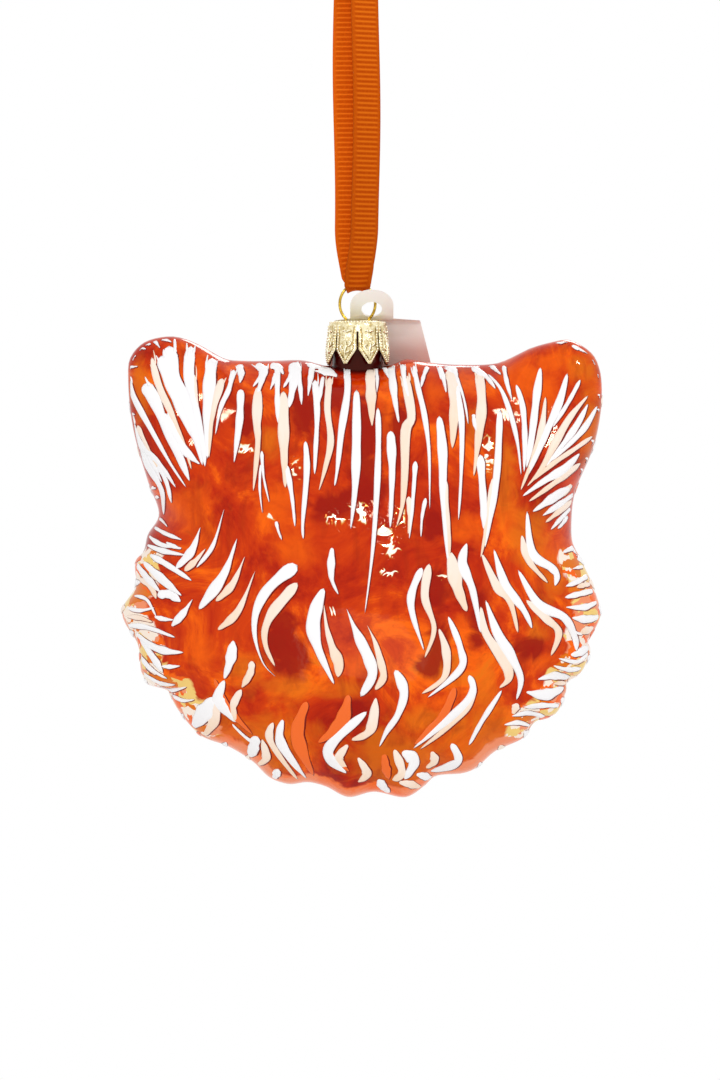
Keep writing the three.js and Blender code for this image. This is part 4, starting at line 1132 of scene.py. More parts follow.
def nose_outline(around):
    """A rounded triangle that points down."""
    return 0.86 + 0.2 * math.sin(3 * around + math.pi) * (1 if math.sin(around) < 0 else 0.75)


def almond_outline(lift):
    """An eye with two corners, its outer one lifted."""
    def outline(around):
        turned = around - lift
        return 0.72 + 0.28 * abs(math.cos(turned)) ** 3
    return outline


def mirrored(points):
    return tuple((-u, v) for u, v in points)


class ORNAMENT_OT_stage(bpy.types.Operator):
    """Sets up the camera, the soft lamps, the white surround and the pale floor"""
    bl_idname = "ornament.stage"
    bl_label = "Stage"

    white = (1, 1, 1, 1)
    sensor_height = 36
    floor_sides = 96
    floor_fade = (0.45, 0.98)

    def execute(self, context):
        stage = context.scene.ornament.stage
        view = bpy.data.cameras.new("photo_camera")
        view.sensor_fit = "VERTICAL"
        view.sensor_height = self.sensor_height
        view.lens = view.sensor_height * stage.distance / stage.view_height
        camera = put_in_scene("photo_camera", view)
        camera.location = (stage.view_x, -stage.distance, stage.view_z)
        camera.rotation_euler = (math.pi / 2, 0, 0)
        context.scene.camera = camera
        context.scene.view_settings.view_transform = "Standard"
        self.light_surround(context, stage)
        for lamp in LAMPS:
            self.hang_lamp(Vector((stage.view_x, 0, stage.lamp_aim)), *lamp)
        self.lay_floor(stage)
        return {"FINISHED"}

    def light_surround(self, context, stage):
        world = bpy.data.worlds.new("white_surround")
        world.use_nodes = True
        context.scene.world = world
        tree = world.node_tree
        lit = tree.nodes["Background"]
        shown = tree.nodes.new("ShaderNodeBackground")
        for background, strength in ((lit, stage.surround), (shown, 1.0)):
            background.inputs["Color"].default_value = self.white
            background.inputs["Strength"].default_value = strength
        path = tree.nodes.new("ShaderNodeLightPath")
        seen = path.outputs["Is Camera Ray"]
        for ray in ("Is Glossy Ray", "Is Transmission Ray"):
            either = tree.nodes.new("ShaderNodeMath")
            either.operation = "MAXIMUM"
            tree.links.new(seen, either.inputs[0])
            tree.links.new(path.outputs[ray], either.inputs[1])
            seen = either.outputs[0]
        mixed = tree.nodes.new("ShaderNodeMixShader")
        for socket, output in zip(mixed.inputs, (seen, lit.outputs[0], shown.outputs[0])):
            tree.links.new(output, socket)
        tree.links.new(mixed.outputs[0], tree.nodes["World Output"].inputs["Surface"])

    def hang_lamp(self, aim, name, direction, distance, size, power):
        light = bpy.data.lights.new(name, "AREA")
        light.shape = "DISK"
        light.size = size
        light.energy = power
        lamp = put_in_scene(name, light)
        lamp.location = aim + Vector(direction).normalized() * distance
        lamp.rotation_euler = (aim - lamp.location).to_track_quat("-Z", "Y").to_euler()

    def lay_floor(self, stage):
        shape = bmesh.new()
        bmesh.ops.create_circle(shape, cap_ends=True, segments=self.floor_sides, radius=stage.floor_radius)
        bmesh.ops.translate(shape, verts=shape.verts, vec=(0, 0, stage.floor_z))
        mesh = mesh_of("floor", shape)
        finish = Finish("pale floor")
        coordinates = finish.object_coordinates()
        speckle = finish.noise(coordinates, 900, detail=2)
        finish.feed("Base Color", finish.ramp(speckle, ((0.3, stage.floor_colour), (0.7, stage.speckle))))
        finish.set(Roughness=0.8, Specular_IOR_Level=0.1)
        flat = finish.node("ShaderNodeVectorMath", Vector=coordinates)
        flat.operation = "MULTIPLY"
        flat.inputs[1].default_value = (1, 1, 0)
        outwards = finish.node("ShaderNodeVectorMath")
        outwards.operation = "LENGTH"
        finish.tree.links.new(flat.outputs["Vector"], outwards.inputs[0])
        start, end = (stage.floor_radius * share for share in self.floor_fade)
        fade = finish.between(outwards.outputs["Value"], start, end, smooth=True)
        white = finish.node("ShaderNodeEmission", Color=self.white, Strength=1.0)
        faded = finish.node("ShaderNodeMixShader", Fac=fade)
        finish.tree.links.new(finish.shader.outputs[0], faded.inputs[1])
        finish.tree.links.new(white.outputs[0], faded.inputs[2])
        finish.tree.links.new(faded.outputs[0], finish.tree.nodes["Material Output"].inputs["Surface"])
        mesh.materials.append(finish.material)
        floor = put_in_scene("floor", mesh)


class RibbonRoute:
    """The ribbon's way from the knot down in front, under the wire and up behind."""

    def __init__(self, ribbon):
        self.ribbon = ribbon
        self.fold_z = -ribbon.drop + ribbon.fold_radius - ribbon.thickness / 2
        self.leg = ribbon.rise - self.fold_z
        self.fold = math.pi * ribbon.fold_radius
        self.length = 2 * self.leg + self.fold

    def middle(self, along):
        """Centre of the ribbon at a length along it."""
        if along < self.leg:
            return self.leg_middle(self.ribbon.rise - along, -1, self.ribbon.front_shift)
        if along > self.leg + self.fold:
            return self.leg_middle(self.fold_z + along - self.leg - self.fold, 1, self.ribbon.rear_shift)
        turn = (along - self.leg) / self.ribbon.fold_radius
        radius = self.ribbon.fold_radius
        return Vector((0, -radius * math.cos(turn), self.fold_z - radius * math.sin(turn)))

    def leg_middle(self, z, side, shift):
        """Centre of a leg at a height; side is -1 for the front leg and 1 for the rear one."""
        ribbon = self.ribbon
        settled = self.fold_z + 12 * MM
        gathered = smoothstep(-z, 0, ribbon.eye_taper)
        aside = shift * gathered * smoothstep(z, self.fold_z - 2 * MM, settled)
        opened = smoothstep(-z, 0.4 * MM, ribbon.eye_taper)
        gap = lerp(ribbon.thickness * 0.62, ribbon.fold_radius, opened)
        wave = 0.25 * MM * math.sin(z / MM * 0.11 + side)
        sway = wave * gathered * smoothstep(z, self.fold_z, settled)
        return Vector((aside + sway, side * gap, z))

    def surface(self, along, across):
        """A point on the ribbon; across runs from -1 to 1 over its width."""
        ribbon = self.ribbon
        middle = self.middle(along)
        gathered = smoothstep(-middle.z, 0, ribbon.eye_taper)
        turn = (along - self.leg) / ribbon.fold_radius
        flared = twisted = 0.0
        if turn < math.pi / 2:
            near = 1 - smoothstep(middle.z, self.fold_z, self.fold_z + 6 * MM)
            arched = smoothstep(turn, 0.5, 1.4)
            pinched = lerp(0.65 * near, 1.0, arched)
            flared = ribbon.corner_flare * near * (1 - arched)
            twisted = ribbon.front_twist * gathered * (1 - near)
        else:
            low, high = (self.fold_z + height for height in (-0.2 * MM, 2.4 * MM))
            arched = 1 - smoothstep(middle.z, self.fold_z - ribbon.fold_radius, self.fold_z + 8 * MM)
            pinched = 1 - smoothstep(middle.z, low, high)
        full = lerp(ribbon.width, ribbon.fold_width, pinched)
        offset = across * lerp(ribbon.eye_width, full, gathered) / 2
        bend = offset / ribbon.fold_arch
        x = lerp(offset, ribbon.fold_arch * math.sin(bend), arched)
        z = -arched * ribbon.fold_arch * (1 - math.cos(bend))
        pleat = (1 - gathered) * 0.45 * MM * (across * across - 0.4)
        cup = gathered * (1 - arched) * 0.12 * MM * across * across
        y = math.copysign(pleat + cup, middle.y) if middle.y else 0.0
        y += x * math.sin(twisted) - flared * across * across
        return middle + Vector((x * math.cos(twisted), y, z))


def new_ribbon():
    shape = bmesh.new()
    for name in ("rib", "shade"):
        shape.verts.layers.float.new(name)
    return shape


def add_ribbon_strip(shape, surface, length_mm, across_steps, ribbon, shading):
    """A strip of grosgrain laid on surface(share, across), with real ribs along its length."""
    rib_layer = shape.verts.layers.float["rib"]
    shade_layer = shape.verts.layers.float["shade"]
    rows = max(4, round(length_mm / (ribbon.rib_pitch / MM) * RIB_STEPS))
    grid = bmesh.ops.create_grid(shape, x_segments=rows, y_segments=across_steps, size=1.0)
    edge = 1 - 2 * ribbon.selvage / ribbon.width
    for vert in grid["verts"]:
        share = (vert.co.x + 1) / 2
        across = vert.co.y
        wave = (0.5 + 0.5 * math.cos(2 * math.pi * share * length_mm * MM / ribbon.rib_pitch)) ** 3
        plain = smoothstep(abs(across), edge - SELVAGE_BLEND, edge + SELVAGE_BLEND)
        rib = lerp(wave, 0.2 + 0.1 * wave, plain)
        centre = surface(share, across)
        ahead = surface(min(1.0, share + ALONG_STEP), across) - surface(max(0.0, share - ALONG_STEP), across)
        sideways = surface(share, min(1.0, across + ACROSS_STEP)) - surface(share, max(-1.0, across - ACROSS_STEP))
        normal = ahead.cross(sideways).normalized()
        vert.co = centre + normal * ribbon.rib_height * (rib - 0.5)
        vert[rib_layer] = rib
        vert[shade_layer] = shading(share)


def front_shade(share):
    """How far the front leg is shaded, at a share of the ribbon's length."""
    return lerp(0.5, 1.0, 2 * share) * (1 - smoothstep(share, 0.5, 0.52))


def solidify_piece(piece, thickness):
    wall = piece.modifiers.new("thickness", "SOLIDIFY")
    wall.thickness = thickness
    wall.offset = 0.0
    wall.use_even_offset = False


class ORNAMENT_OT_ribbon(bpy.types.Operator):
    """Hangs the grosgrain loop from its knot, folded under the wire"""
    bl_idname = "ornament.ribbon"
    bl_label = "Ribbon"

    path_steps = 96
    across_steps = 14
    wrap_steps = 10

    def execute(self, context):
        ribbon = context.scene.ornament.ribbon
        finish = grosgrain_finish(ribbon)
        knot = self.tie_knot(ribbon, finish)
        route = RibbonRoute(ribbon)
        shape = new_ribbon()
        add_ribbon_strip(shape, lambda share, across: route.surface(share * route.length, across),
                         route.length / MM, self.across_steps, ribbon, front_shade)
        loop = finish_piece("grosgrain_loop", shape, finish, "ribbon", ("ribbon_loop",))
        solidify_piece(loop, ribbon.thickness)
        return {"FINISHED"}

    def tie_knot(self, ribbon, finish):
        radii = Vector((ribbon.knot_width, ribbon.knot_depth, ribbon.knot_height)) / 2
        middle = Vector((0, 0, ribbon.knot_z))
        shape = new_ribbon()
        for tilt, offset, width in KNOT_WRAPS:
            turn = Euler((math.radians(tilt * 0.5), math.radians(tilt), 0)).to_matrix()
            bulge = 1.0 - abs(tilt) * 0.002

            def wrap(share, across, turn=turn, offset=offset, width=width, bulge=bulge):
                around = 2 * math.pi * share
                lift = offset + across * width
                ring = Vector((math.cos(around), math.sin(around), lift))
                out = (turn @ ring).normalized()
                crown = bulge * (0.97 - 0.07 * across * across)
                return middle + Vector((out.x * radii.x, out.y * radii.y, out.z * radii.z)) * crown
            # The knot's wraps are tinted with a painted shade of 0.3
            add_ribbon_strip(shape, wrap, math.pi * ribbon.knot_width / MM, self.wrap_steps, ribbon,
                             lambda share: 0.3)
        bmesh.ops.remove_doubles(shape, verts=shape.verts, dist=MERGE)
        for side in (-1, 1):
            lean = Euler((-side * ribbon.tail_tilt, side * ribbon.tail_spread, 0)).to_matrix()
            foot = middle + Vector((side * MM, side * ribbon.thickness, 0))

            def tail(share, across, side=side, lean=lean, foot=foot):
                reach = share * (ribbon.tail - ribbon.tail_notch * (1 - abs(across)))
                pinch = lerp(0.62, 1.0, smoothstep(reach, 2.6 * MM, 6.5 * MM))
                curl = side * 0.9 * MM * (reach / ribbon.tail) ** 2
                ripple = 0.3 * MM * (1 - pinch) * math.cos(across * 5)
                return foot + lean @ Vector((across * pinch * ribbon.width / 2, curl + ripple, reach))
            add_ribbon_strip(shape, tail, ribbon.tail / MM, self.across_steps, ribbon, lambda share: 0.0)
        knot = finish_piece("ribbon_overhand_knot", shape, finish, "knot", ("ribbon_knot",))
        solidify_piece(knot, ribbon.thickness)
        return knot


class ORNAMENT_OT_head(bpy.types.Operator):
    """Blows the lacquered glass head with its ears, fur tufts, face and open neck"""
    bl_idname = "ornament.head"
    bl_label = "Glass head"

    neck_sides = 64
    neck_lip = 0.3 * MM
    neck_foot_share = 0.96

    def execute(self, context):
        glass = context.scene.ornament.glass
        form = HeadForm(glass)
        shape = bmesh.new()
        bmesh.ops.create_cube(shape, size=2.0)
        bmesh.ops.subdivide_edges(shape, edges=shape.edges, cuts=glass.facets, use_grid_fill=True)
        for vert in shape.verts:
            spread = Vector([math.tan(value * math.pi / 4) for value in vert.co])
            vert.co = form.skin(spread.normalized())
        self.ripple(shape, form, glass)
        head = finish_piece("glass_head", shape, lacquer_finish(glass), "glass", ("glass_shell",))
        self.open_neck(context, head, glass)
        self.mark_zones(head, form)
        return {"FINISHED"}

    def ripple(self, shape, form, glass):
        """Gives the skin the unevenness of hand-blown glass, less towards its edge."""
        shape.normal_update()
        for vert in shape.verts:
            local = vert.co - form.centre
            calm = 1 - smoothstep(form.edge_share(local.x, local.z), 0.86, 0.98)
            wave = noise.noise(vert.co * 70) + 0.45 * noise.noise(vert.co * 170)
            flute = noise.noise(Vector([value * scale for value, scale in zip(vert.co, FLUTE_SCALE)]))
            vert.co += vert.normal * calm * (glass.waviness * wave + glass.fluting * flute)

    def open_neck(self, context, head, glass):
        """Joins the neck to the head and opens its bore."""
        collar = self.turned("neck_form", (
            (glass.neck_radius * self.neck_foot_share, glass.neck_foot), (glass.neck_radius, glass.neck_foot + MM),
            (glass.neck_radius, glass.neck_top - self.neck_lip), (glass.neck_radius - self.neck_lip, glass.neck_top)))
        bore = self.turned("bore_form", (
            (glass.bore_radius, glass.bore_foot), (glass.bore_radius, glass.neck_top + MM)))
        for tool, operation in ((collar, "UNION"), (bore, "DIFFERENCE")):
            cut = head.modifiers.new(operation.lower(), "BOOLEAN")
            cut.object = tool
            cut.operation = operation
            cut.solver = "MANIFOLD"
        joined = shaped_mesh(context, head)
        head.modifiers.clear()
        old = head.data
        head.data = joined
        bpy.data.meshes.remove(old)
        joined.name = "glass_head"
        for tool in (collar, bore):
            bpy.data.objects.remove(tool)

    def turned(self, name, profile):
        """A closed form turned from a profile, to join to the head or cut from it."""
        shape = bmesh.new()
        spin_round(shape, ((0, profile[0][1]), *profile, (0, profile[-1][1])), self.neck_sides)
        bmesh.ops.remove_doubles(shape, verts=shape.verts, dist=MERGE)
        bmesh.ops.recalc_face_normals(shape, faces=shape.faces)
        return put_in_scene(name, mesh_of(name, shape))

    def mark_zones(self, head, form):
        """Writes where the lacquer pools, thins, is washed or darkens, and where the glass wrinkles, for the finish to
        read; the rim's glow and the neck's dark are partly painted light and painted shade.
        """
        zones = {name: [] for name in (*POOLS, "cheek", "rim", "neck")}
        for vert in head.data.vertices:
            local = vert.co - form.centre
            u, v = local.x / MM, local.z / MM
            edge = form.edge_share(local.x, local.z)
            on_back = 1 - smoothstep(local.y, *BACK_EDGE)
            for name, pools in POOLS.items():
                zones[name].append(on_back * self.pooled(pools, u, v))
            beside = smoothstep(v, *CHEEK_FOOT) * (1 - smoothstep(v, *CHEEK_TOP)) * smoothstep(abs(u), *CHEEK_SIDE)
            behind = 1 - smoothstep(local.y, *CHEEK_FRONT)
            zones["cheek"].append(beside * behind * smoothstep(edge, *CHEEK_EDGE))
            zones["rim"].append(smoothstep(-v, *RIM_TOP) * smoothstep(edge, *RIM_EDGE))
            from_neck = math.hypot(vert.co.x, vert.co.y) / MM
            zones["neck"].append((1 - smoothstep(from_neck, *NECK_RING)) * smoothstep(v, *NECK_RISE))
        for name, values in zones.items():
            layer = head.data.attributes.new(name, "FLOAT", "POINT")
            layer.data.foreach_set("value", values)

    def pooled(self, pools, u, v):
        clear = 1.0
        for (at_u, at_v), (wide, high) in pools:
            clear *= 1 - math.exp(-((u - at_u) / wide) ** 2 - ((v - at_v) / high) ** 2)
        return 1 - clear


class ORNAMENT_OT_fur(bpy.types.Operator):
    """Lays the raised enamel fur strokes on the back of the head"""
    bl_idname = "ornament.fur"
    bl_label = "Enamel fur"

    def execute(self, context):
        settings = context.scene.ornament
        enamel = settings.enamel
        surface = GlassSurface(HeadForm(settings.glass), -1)
        painted_shadows = new_painting()
        coats = (
            ("fur_strokes_white", WHITE_STROKES, 1.0,
             enamel_finish("white enamel", enamel.white, enamel.white_thin, gloss=0.3)),
            ("fur_strokes_cream", CREAM_STROKES, 0.8,
             enamel_finish("cream enamel", enamel.cream, enamel.peach, gloss=0.32)),
            ("fur_strokes_orange", ORANGE_STROKES, 0.6,
             enamel_finish("orange enamel", enamel.orange, enamel.orange, gloss=0.25)),
        )
        edge_surface = EdgeSurface(surface.form, -1)
        for coat, (name, groups, thickness, finish) in enumerate(coats):
            shape = new_painting()
            high = enamel.height * thickness
            for points, width in self.edge_strokes(settings.glass, EDGE_COATS[coat]):
                self.lay(shape, painted_shadows, edge_surface, points, width, high, quill, enamel, (0, 0))
            for group, strokes in groups.items():
                profile = STROKE_PROFILES.get(group, swell)
                fullness = STROKE_FULLNESS.get(group, FULL_STROKE)
                for width, *points in strokes:
                    self.lay(shape, painted_shadows, surface, points, width * fullness, high, profile, enamel, SHADE_SHIFT)
                    for hair in split_ends(group, points, width):
                        add_stroke(shape, surface, hair, width * 0.3, high * 0.8, *HAIR_GRID)
            finish_piece(name, shape, finish, "glass")
        # The dark lines beside the strokes: partly dark lacquer, partly painted shadow
        shade = enamel_finish("stroke shade", enamel.shade, enamel.shade, gloss=0.2)
        finish_piece("fur_stroke_shades", painted_shadows, shade, "glass")
        return {"FINISHED"}

    def lay(self, shape, painted_shadows, surface, points, width, height, profile, enamel, shift):
        """Lays a stroke and the dark line beside it, partly dark lacquer and partly painted shadow of the stroke."""
        add_stroke(shape, surface, points, width, height, *STROKE_GRID, profile)
        add_stroke(painted_shadows, surface, points, width, enamel.height * SHADE_HEIGHT, *SHADE_GRID, profile,
                   enamel.shade_width, shift)

    def edge_strokes(self, glass, taken):
        """Carries the cheeks' and ears' fur round the edge of the head towards the face."""
        half_width = glass.skull_width / 2 / MM
        for index, turn in enumerate(EDGE_TURNS):
            for side, degrees in ((0, turn), (1, 180 - turn)):
                if (index + side) % 4 not in taken:
                    continue
                around = math.radians(degrees) * half_width
                uneven = math.sin(37 * index + 11 * side)
                droop = (1.6 + 0.9 * uneven) * (1 if side else -1)
                start = (-1.6 if turn > 10 else -4.6) + 0.8 * uneven
                points = ((around, start), (around + 0.3 * droop, start + 5),
                          (around + droop, start + 10.5 + 1.6 * uneven))
                yield points, 1.7 + 0.5 * math.sin(19 * index + 5 * side)


class ORNAMENT_OT_face(bpy.types.Operator):
    """Paints the cat's face on the front of the head"""
    bl_idname = "ornament.face"
    bl_label = "Painted face"

    def execute(self, context):
        settings = context.scene.ornament
        enamel = settings.enamel
        form = HeadForm(settings.glass)
        surface = GlassSurface(form, 1)
        white, line, pink, iris, pupil = (new_painting() for _ in range(5))
        for middle, radii, rise in FACE_PATCHES.values():
            for side in ((1, -1) if middle[0] else (1,)):
                add_patch(white, surface, (side * middle[0], middle[1]), radii, rise, ragged_outline)
        for strokes, shape, high in ((FACE_LINES, line, LINE_HEIGHT), (FACE_STRIPES, line, STRIPE_HEIGHT),
                                     (FACE_FUR, white, FUR_HEIGHT)):
            for width, *points in strokes:
                for drawn in (points, mirrored(points)):
                    add_stroke(shape, surface, drawn, width, high * MM, *FACE_GRID)
        for turn in RUFF_TURNS:
            around = math.radians(turn)
            reach = form.rim(around) / MM
            points = [(k * reach * math.cos(around + bend), k * reach * math.sin(around + bend))
                      for k, bend in RUFF_POINTS]
            add_stroke(white, surface, points, RUFF_WIDTH, enamel.height, *FACE_GRID)
        add_patch(pink, surface, *NOSE, nose_outline)
        for side in (1, -1):
            (ear_u, ear_v), *ear = EAR_PINK
            add_patch(pink, surface, (side * ear_u, ear_v), *ear, ragged_outline)
            almond = almond_outline(EYE_LIFT if side > 0 else math.pi - EYE_LIFT)
            eye = (side * EYE[0], EYE[1])
            add_patch(line, surface, eye, *EYE_RIM, almond)
            add_patch(iris, surface, eye, *IRIS, almond)
            add_patch(pupil, surface, eye, *PUPIL, round_outline)
            glint = (eye[0] + GLINT_SHIFT[0], eye[1] + GLINT_SHIFT[1])
            add_patch(white, surface, glint, *GLINT, round_outline, sides=16, rings=8)
            for u, v in WHISKER_DOTS:
                add_patch(line, surface, (side * u, v), *WHISKER_DOT, round_outline, sides=12, rings=6)
        dark = enamel_finish("face line enamel", enamel.line, enamel.line_thin, gloss=0.3)
        black = enamel_finish("pupil enamel", enamel.pupil, enamel.pupil_thin, gloss=0.12)
        for name, shape, finish in (
                ("face_white", white, enamel_finish("face white enamel", enamel.white, enamel.cream, gloss=0.3)),
                ("face_lines", line, dark),
                ("face_pink", pink, enamel_finish("pink enamel", enamel.pink, enamel.pink_thin, gloss=0.3)),
                ("face_irises", iris, enamel_finish("iris enamel", enamel.iris, enamel.iris_thin, gloss=0.12)),
                ("face_pupils", pupil, black)):
            finish_piece(name, shape, finish, "glass")
        return {"FINISHED"}


class PetalSurface:
    """The outside of one petal of the cap, by distance across it and below the shoulder."""

    swell_start = (1.6 * MM, 3 * MM)
    swell_end = 6 * MM
    slit_margin = 0.01 * MM

    def __init__(self, cap, petal):
        self.cap = cap
        self.down = cap.height - cap.shoulder
        self.turn = 2 * math.pi * (petal + 0.5) / cap.petals

    def __call__(self, across, drop):
        cap = self.cap
        radius = self.radius(drop)
        around = self.turn + across / radius
        out = Vector((math.sin(around), -math.cos(around), 0))
        swollen = smoothstep(drop, *self.swell_start) * (1 - smoothstep(drop, self.swell_end, self.down))
        bulge = cap.bulge * (1 - min(1.0, abs(across) / self.half_width(drop)) ** 2) * swollen
        return out * (radius + bulge) + Vector((0, 0, cap.top_z - cap.shoulder - drop)), out

    def radius(self, drop):
        return lerp(self.cap.top_radius, self.cap.rim_radius, drop / self.down)

    def half_width(self, drop):
        cap = self.cap
        full = math.pi / cap.petals * self.radius(drop)
        if drop < cap.slit_start - cap.shoulder - self.slit_margin:
            return full
        straight = full - cap.slit / 2
        return lerp(straight, cap.blunt / 2, max(0.0, (drop - (self.down - cap.point)) / cap.point))


class ORNAMENT_OT_cap(bpy.types.Operator):
    """Presses the gilt crown cap with its petals, beading and scrollwork"""
    bl_idname = "ornament.cap"
    bl_label = "Crown cap"

    across_steps = 14
    down_steps = 40
    merge = 0.01 * MM
    shoulder_turns = (90, 72, 54, 36, 18, 0)
    dish_edge = 0.86
    dish_rings = (0.8, 0.4, 0)
    dish_depth = 0.12 * MM
    ring_beads, straight_beads, point_beads = 56, 9, 7
    bead_inset, bead_lift = 0.42 * MM, 0.02

    def execute(self, context):
        cap = context.scene.ornament.cap
        finish = gilt_finish("pressed gilt sheet", cap.tarnish, cap.gilt)
        # Painted highlight: the raised relief gets a brighter gold than the sheet
        highlighted = gilt_finish("rubbed gilt relief", cap.gilt, cap.highlighted)
        shape = bmesh.new()
        for petal in range(cap.petals):
            self.cut_petal(shape, PetalSurface(cap, petal))
        self.roll_top(shape, cap)
        bmesh.ops.remove_doubles(shape, verts=shape.verts, dist=self.merge)
        crown = finish_piece("crown_cap_sheet", shape, finish, "hanger", ("crown_cap",))
        wall = crown.modifiers.new("wall", "SOLIDIFY")
        wall.thickness = cap.wall
        wall.offset = -1.0
        relief, shade_lines = new_painting(), new_painting()
        for petal in range(cap.petals):
            surface = PetalSurface(cap, petal)
            self.edge_with_beads(relief, shade_lines, cap, surface)
            self.press_flower(relief, cap, surface)
            self.press_scrolls(relief, shade_lines, surface)
        self.bead_ring(relief, cap)
        self.eyelets(relief, context.scene.ornament.wire, cap)
        finish_piece("crown_cap_relief", relief, highlighted, "hanger")
        # Painted shade: the dark lines beside the beads and scrolls
        dark = gilt_finish("dark grooves", cap.shade_line, cap.tarnish)
        finish_piece("crown_cap_grooves", shade_lines, dark, "hanger")
        return {"FINISHED"}

    def cut_petal(self, shape, surface):
        grid = bmesh.ops.create_grid(shape, x_segments=self.across_steps, y_segments=self.down_steps, size=1.0)
        for vert in grid["verts"]:
            drop = (1 - vert.co.y) / 2 * surface.down
            across = vert.co.x * surface.half_width(drop)
            vert.co = surface(across, drop)[0]

    def roll_top(self, shape, cap):
        """The rolled shoulder and the flat top with its shallow dish."""
        inner = cap.top_radius - cap.shoulder
        profile = [(inner + cap.shoulder * math.sin(turn), cap.top_z - cap.shoulder + cap.shoulder * math.cos(turn))
                   for turn in (math.radians(degrees) for degrees in self.shoulder_turns)]
        profile.append((inner * self.dish_edge, cap.top_z))
        profile += [(inner * share, cap.top_z - self.dish_depth) for share in self.dish_rings]
        spin_round(shape, profile, cap.petals * self.across_steps, start=-math.pi / 2)

    def edge_with_beads(self, relief, shade_lines, cap, surface):
        """Beads along a petal's straight sides and its point, with a painted shade line beside them."""
        margin, tip, shade_line_inset = 0.1 * MM, 0.55 * MM, 0.3
        point = surface.down - cap.point
        for side in (-1, 1):
            row = []
            for k in range(self.straight_beads):
                drop = lerp(margin, point - margin, k / (self.straight_beads - 1))
                row.append((side * (surface.half_width(drop) - self.bead_inset), drop))
            for k in range(1, self.point_beads):
                drop = lerp(point, surface.down - tip, k / (self.point_beads - 1))
                row.append((side * max(0.0, surface.half_width(drop) - self.bead_inset), drop))
            for across, drop in row:
                self.press_bead(relief, surface, across, drop, cap.bead)
            shade_line = [(across / MM - side * shade_line_inset, drop / MM) for across, drop in row]
            add_stroke(shade_lines, surface, shade_line, width=0.34, height=0.06 * MM, sides=6, rings=40, profile=round_ended)

    def press_flower(self, relief, cap, surface):
        middle, leaves, heart = 2.55, 5, 1.3
        self.press_bead(relief, surface, 0, middle * MM, cap.bead * heart)
        for k in range(leaves):
            around = 2 * math.pi * k / leaves + math.pi / 2
            points = [(reach * math.cos(around), middle - reach * math.sin(around)) for reach in (0.25, 0.8)]
            add_stroke(relief, surface, points, width=0.46, height=0.24 * MM, sides=6, rings=8, profile=leaf)

    def press_scrolls(self, relief, shade_lines, surface):
        for points in CAP_SCROLLS:
            # A painted shade line beside each scroll, shifted to one side
            beside = [(across + 0.22, drop + 0.1) for across, drop in points]
            add_stroke(relief, surface, points, width=0.38, height=0.26 * MM, sides=6, rings=12, profile=leaf)
            add_stroke(shade_lines, surface, beside, width=0.42, height=0.06 * MM, sides=6, rings=12, profile=leaf)

    def press_bead(self, relief, surface, across, drop, radius):
        spot, out = surface(across, drop)
        add_bead(relief, spot + out * self.bead_lift * MM, radius)

    def bead_ring(self, relief, cap):
        """A ring of beads half way round the rolled shoulder."""
        slope = math.sqrt(0.5)
        radius = cap.top_radius - (1 - slope) * cap.shoulder
        z = cap.top_z - (1 - slope) * cap.shoulder
        for k in range(self.ring_beads):
            around = 2 * math.pi * k / self.ring_beads
            add_bead(relief, Vector((radius * math.sin(around), -radius * math.cos(around), z)), cap.bead)

    def eyelets(self, relief, wire, cap):
        """Rolled edges where the wire goes through the cap's top."""
        radius, roll, sink = 0.66 * MM, 0.16 * MM, 0.1 * MM
        for side in (-1, 1):
            centre = Vector((side * wire.leg_x, 0, cap.top_z - sink))
            beside = Matrix.Translation(centre + Vector((radius, 0, 0)))
            ring = bmesh.ops.create_circle(relief, segments=10, radius=roll,
                                           matrix=beside @ Matrix.Rotation(math.pi / 2, 4, "X"))
            edges = list(dict.fromkeys(edge for vert in ring["verts"] for edge in vert.link_edges))
            bmesh.ops.spin(relief, geom=ring["verts"] + edges, cent=centre, axis=(0, 0, 1), angle=2 * math.pi,
                           steps=24, use_merge=True)


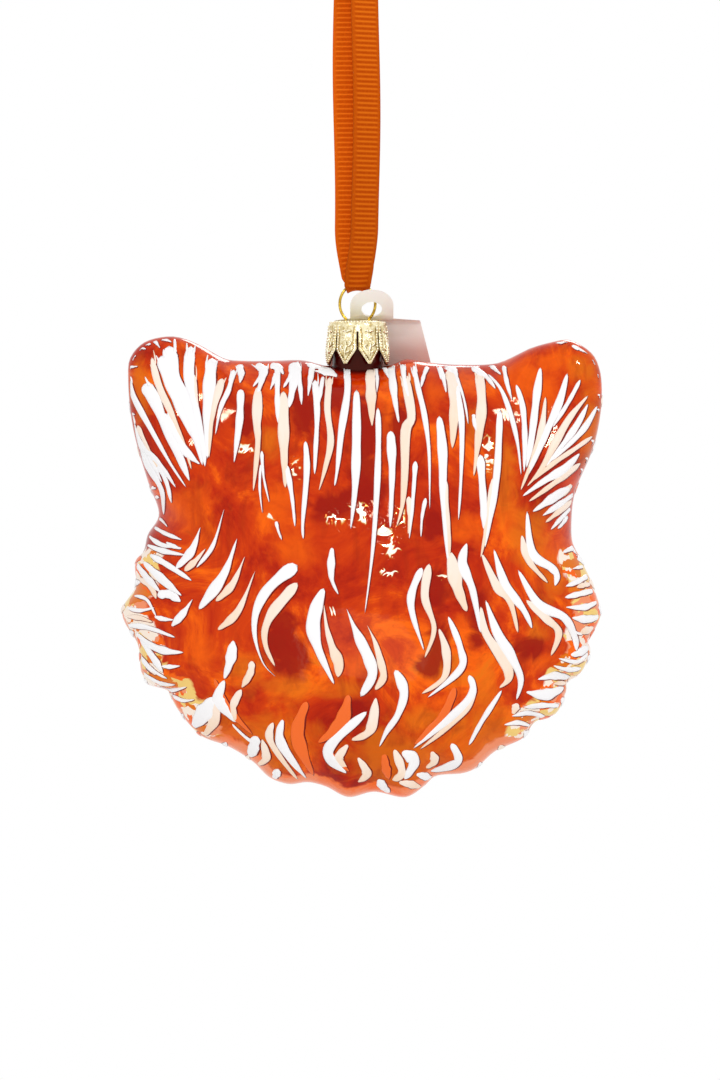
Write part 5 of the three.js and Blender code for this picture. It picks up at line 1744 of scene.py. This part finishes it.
class ORNAMENT_OT_wire(bpy.types.Operator):
    """Bends the brass wire hanger: loop above the cap and sprung legs in the neck"""
    bl_idname = "ornament.wire"
    bl_label = "Wire hanger"

    leg_bends = (0.25, 0.6, 0.85)
    loop_steps = 28
    wire_steps = 260
    roundness = 5

    def execute(self, context):
        wire = context.scene.ornament.wire
        radius = wire.diameter / 2
        route = self.bent_route(wire, context.scene.ornament.cap, context.scene.ornament.glass.neck_top, radius)
        curve = bpy.data.curves.new("wire_route", "CURVE")
        curve.dimensions = "3D"
        curve.bevel_depth = radius
        curve.bevel_resolution = self.roundness
        curve.use_fill_caps = True
        spline = curve.splines.new("POLY")
        fine = [curve_through(route, k / self.wire_steps) for k in range(self.wire_steps + 1)]
        spline.points.add(len(fine) - 1)
        for point, spot in zip(spline.points, fine):
            point.co = (*spot, 1.0)
        former = put_in_scene("wire_route", curve)
        mesh = shaped_mesh(context, former)
        shape = bmesh.new()
        shape.from_mesh(mesh)
        bmesh.ops.remove_doubles(shape, verts=shape.verts, dist=MERGE)
        bpy.data.objects.remove(former)
        bpy.data.meshes.remove(mesh)
        finish_piece("brass_wire_hanger", shape, brass_finish(wire), "hanger", ("wire_hanger",))
        return {"FINISHED"}

    def bent_route(self, wire, cap, neck_top, radius):
        """The middle of the wire: up one leg, round the loop and down the other leg."""
        low, high, inward = (lerp(wire.foot_z, neck_top, share) for share in self.leg_bends)
        leg = [(wire.spring_x - radius, wire.foot_z), (wire.spring_x, low), (wire.spring_x, high),
               ((wire.leg_x + wire.spring_x) / 2, inward),
               (wire.leg_x, cap.top_z - cap.wall), (wire.leg_x, cap.top_z + radius)]
        entry = math.acos(wire.leg_x / wire.loop_radius)
        turns = [lerp(-entry, math.pi + entry, k / self.loop_steps) for k in range(self.loop_steps + 1)]
        arc = [(wire.loop_radius * math.cos(turn), wire.loop_z + wire.loop_rise * math.sin(turn)) for turn in turns]
        back = [(-x, z) for x, z in reversed(leg)]
        return [Vector((x, 0, z)) for x, z in leg + arc + back]


class ORNAMENT_OT_tag(bpy.types.Operator):
    """Copies the bent card tag from the part and rounds its cut edges"""
    bl_idname = "ornament.tag"
    bl_label = "Hang tag"

    def execute(self, context):
        tag = context.scene.ornament.tag
        low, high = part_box("hang_tag")
        shape = bmesh.new()
        shape.from_mesh(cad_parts["hang_tag"].data)
        bmesh.ops.remove_doubles(shape, verts=shape.verts, dist=0.002 * MM)
        bmesh.ops.dissolve_limit(shape, angle_limit=math.radians(1), verts=shape.verts, edges=shape.edges)
        piece = finish_piece("card_tag", shape, card_finish(tag, high.z, low.z), "tag", ("hang_tag",))
        piece.data.set_sharp_from_angle(angle=math.radians(50))
        edge = piece.modifiers.new("cut edge", "BEVEL")
        edge.width = tag.edge
        edge.segments = 2
        edge.limit_method = "ANGLE"
        edge.angle_limit = math.radians(60)
        return {"FINISHED"}


class ORNAMENT_PT_panel(bpy.types.Panel):
    """Lists the pieces of the ornament"""
    bl_idname = "ORNAMENT_PT_panel"
    bl_label = "Ornament"
    bl_space_type = "VIEW_3D"
    bl_region_type = "UI"
    bl_category = "Ornament"

    def draw(self, context):
        for operator in OPERATORS:
            self.layout.operator(operator.bl_idname)


OPERATORS = (ORNAMENT_OT_stage, ORNAMENT_OT_ribbon, ORNAMENT_OT_wire, ORNAMENT_OT_cap, ORNAMENT_OT_tag,
             ORNAMENT_OT_head, ORNAMENT_OT_fur, ORNAMENT_OT_face)
CLASSES = (StageSettings, GlassSettings, EnamelSettings, CapSettings, WireSettings, TagSettings, RibbonSettings,
           OrnamentSettings, *OPERATORS, ORNAMENT_PT_panel)


def register():
    for made in CLASSES:
        bpy.utils.register_class(made)
    bpy.types.Scene.ornament = PointerProperty(type=OrnamentSettings)


def unregister():
    del bpy.types.Scene.ornament
    for made in reversed(CLASSES):
        bpy.utils.unregister_class(made)


def clear_moulds():
    for mesh in [mesh for mesh in bpy.data.meshes if mesh.name.startswith("ball_mould")]:
        bpy.data.meshes.remove(mesh)


def main():
    register()
    bpy.ops.ornament.stage()
    bpy.ops.ornament.ribbon()
    bpy.ops.ornament.wire()
    bpy.ops.ornament.cap()
    bpy.ops.ornament.tag()
    bpy.ops.ornament.head()
    bpy.ops.ornament.fur()
    bpy.ops.ornament.face()
    clear_moulds()


if __name__ == "__main__":
    main()
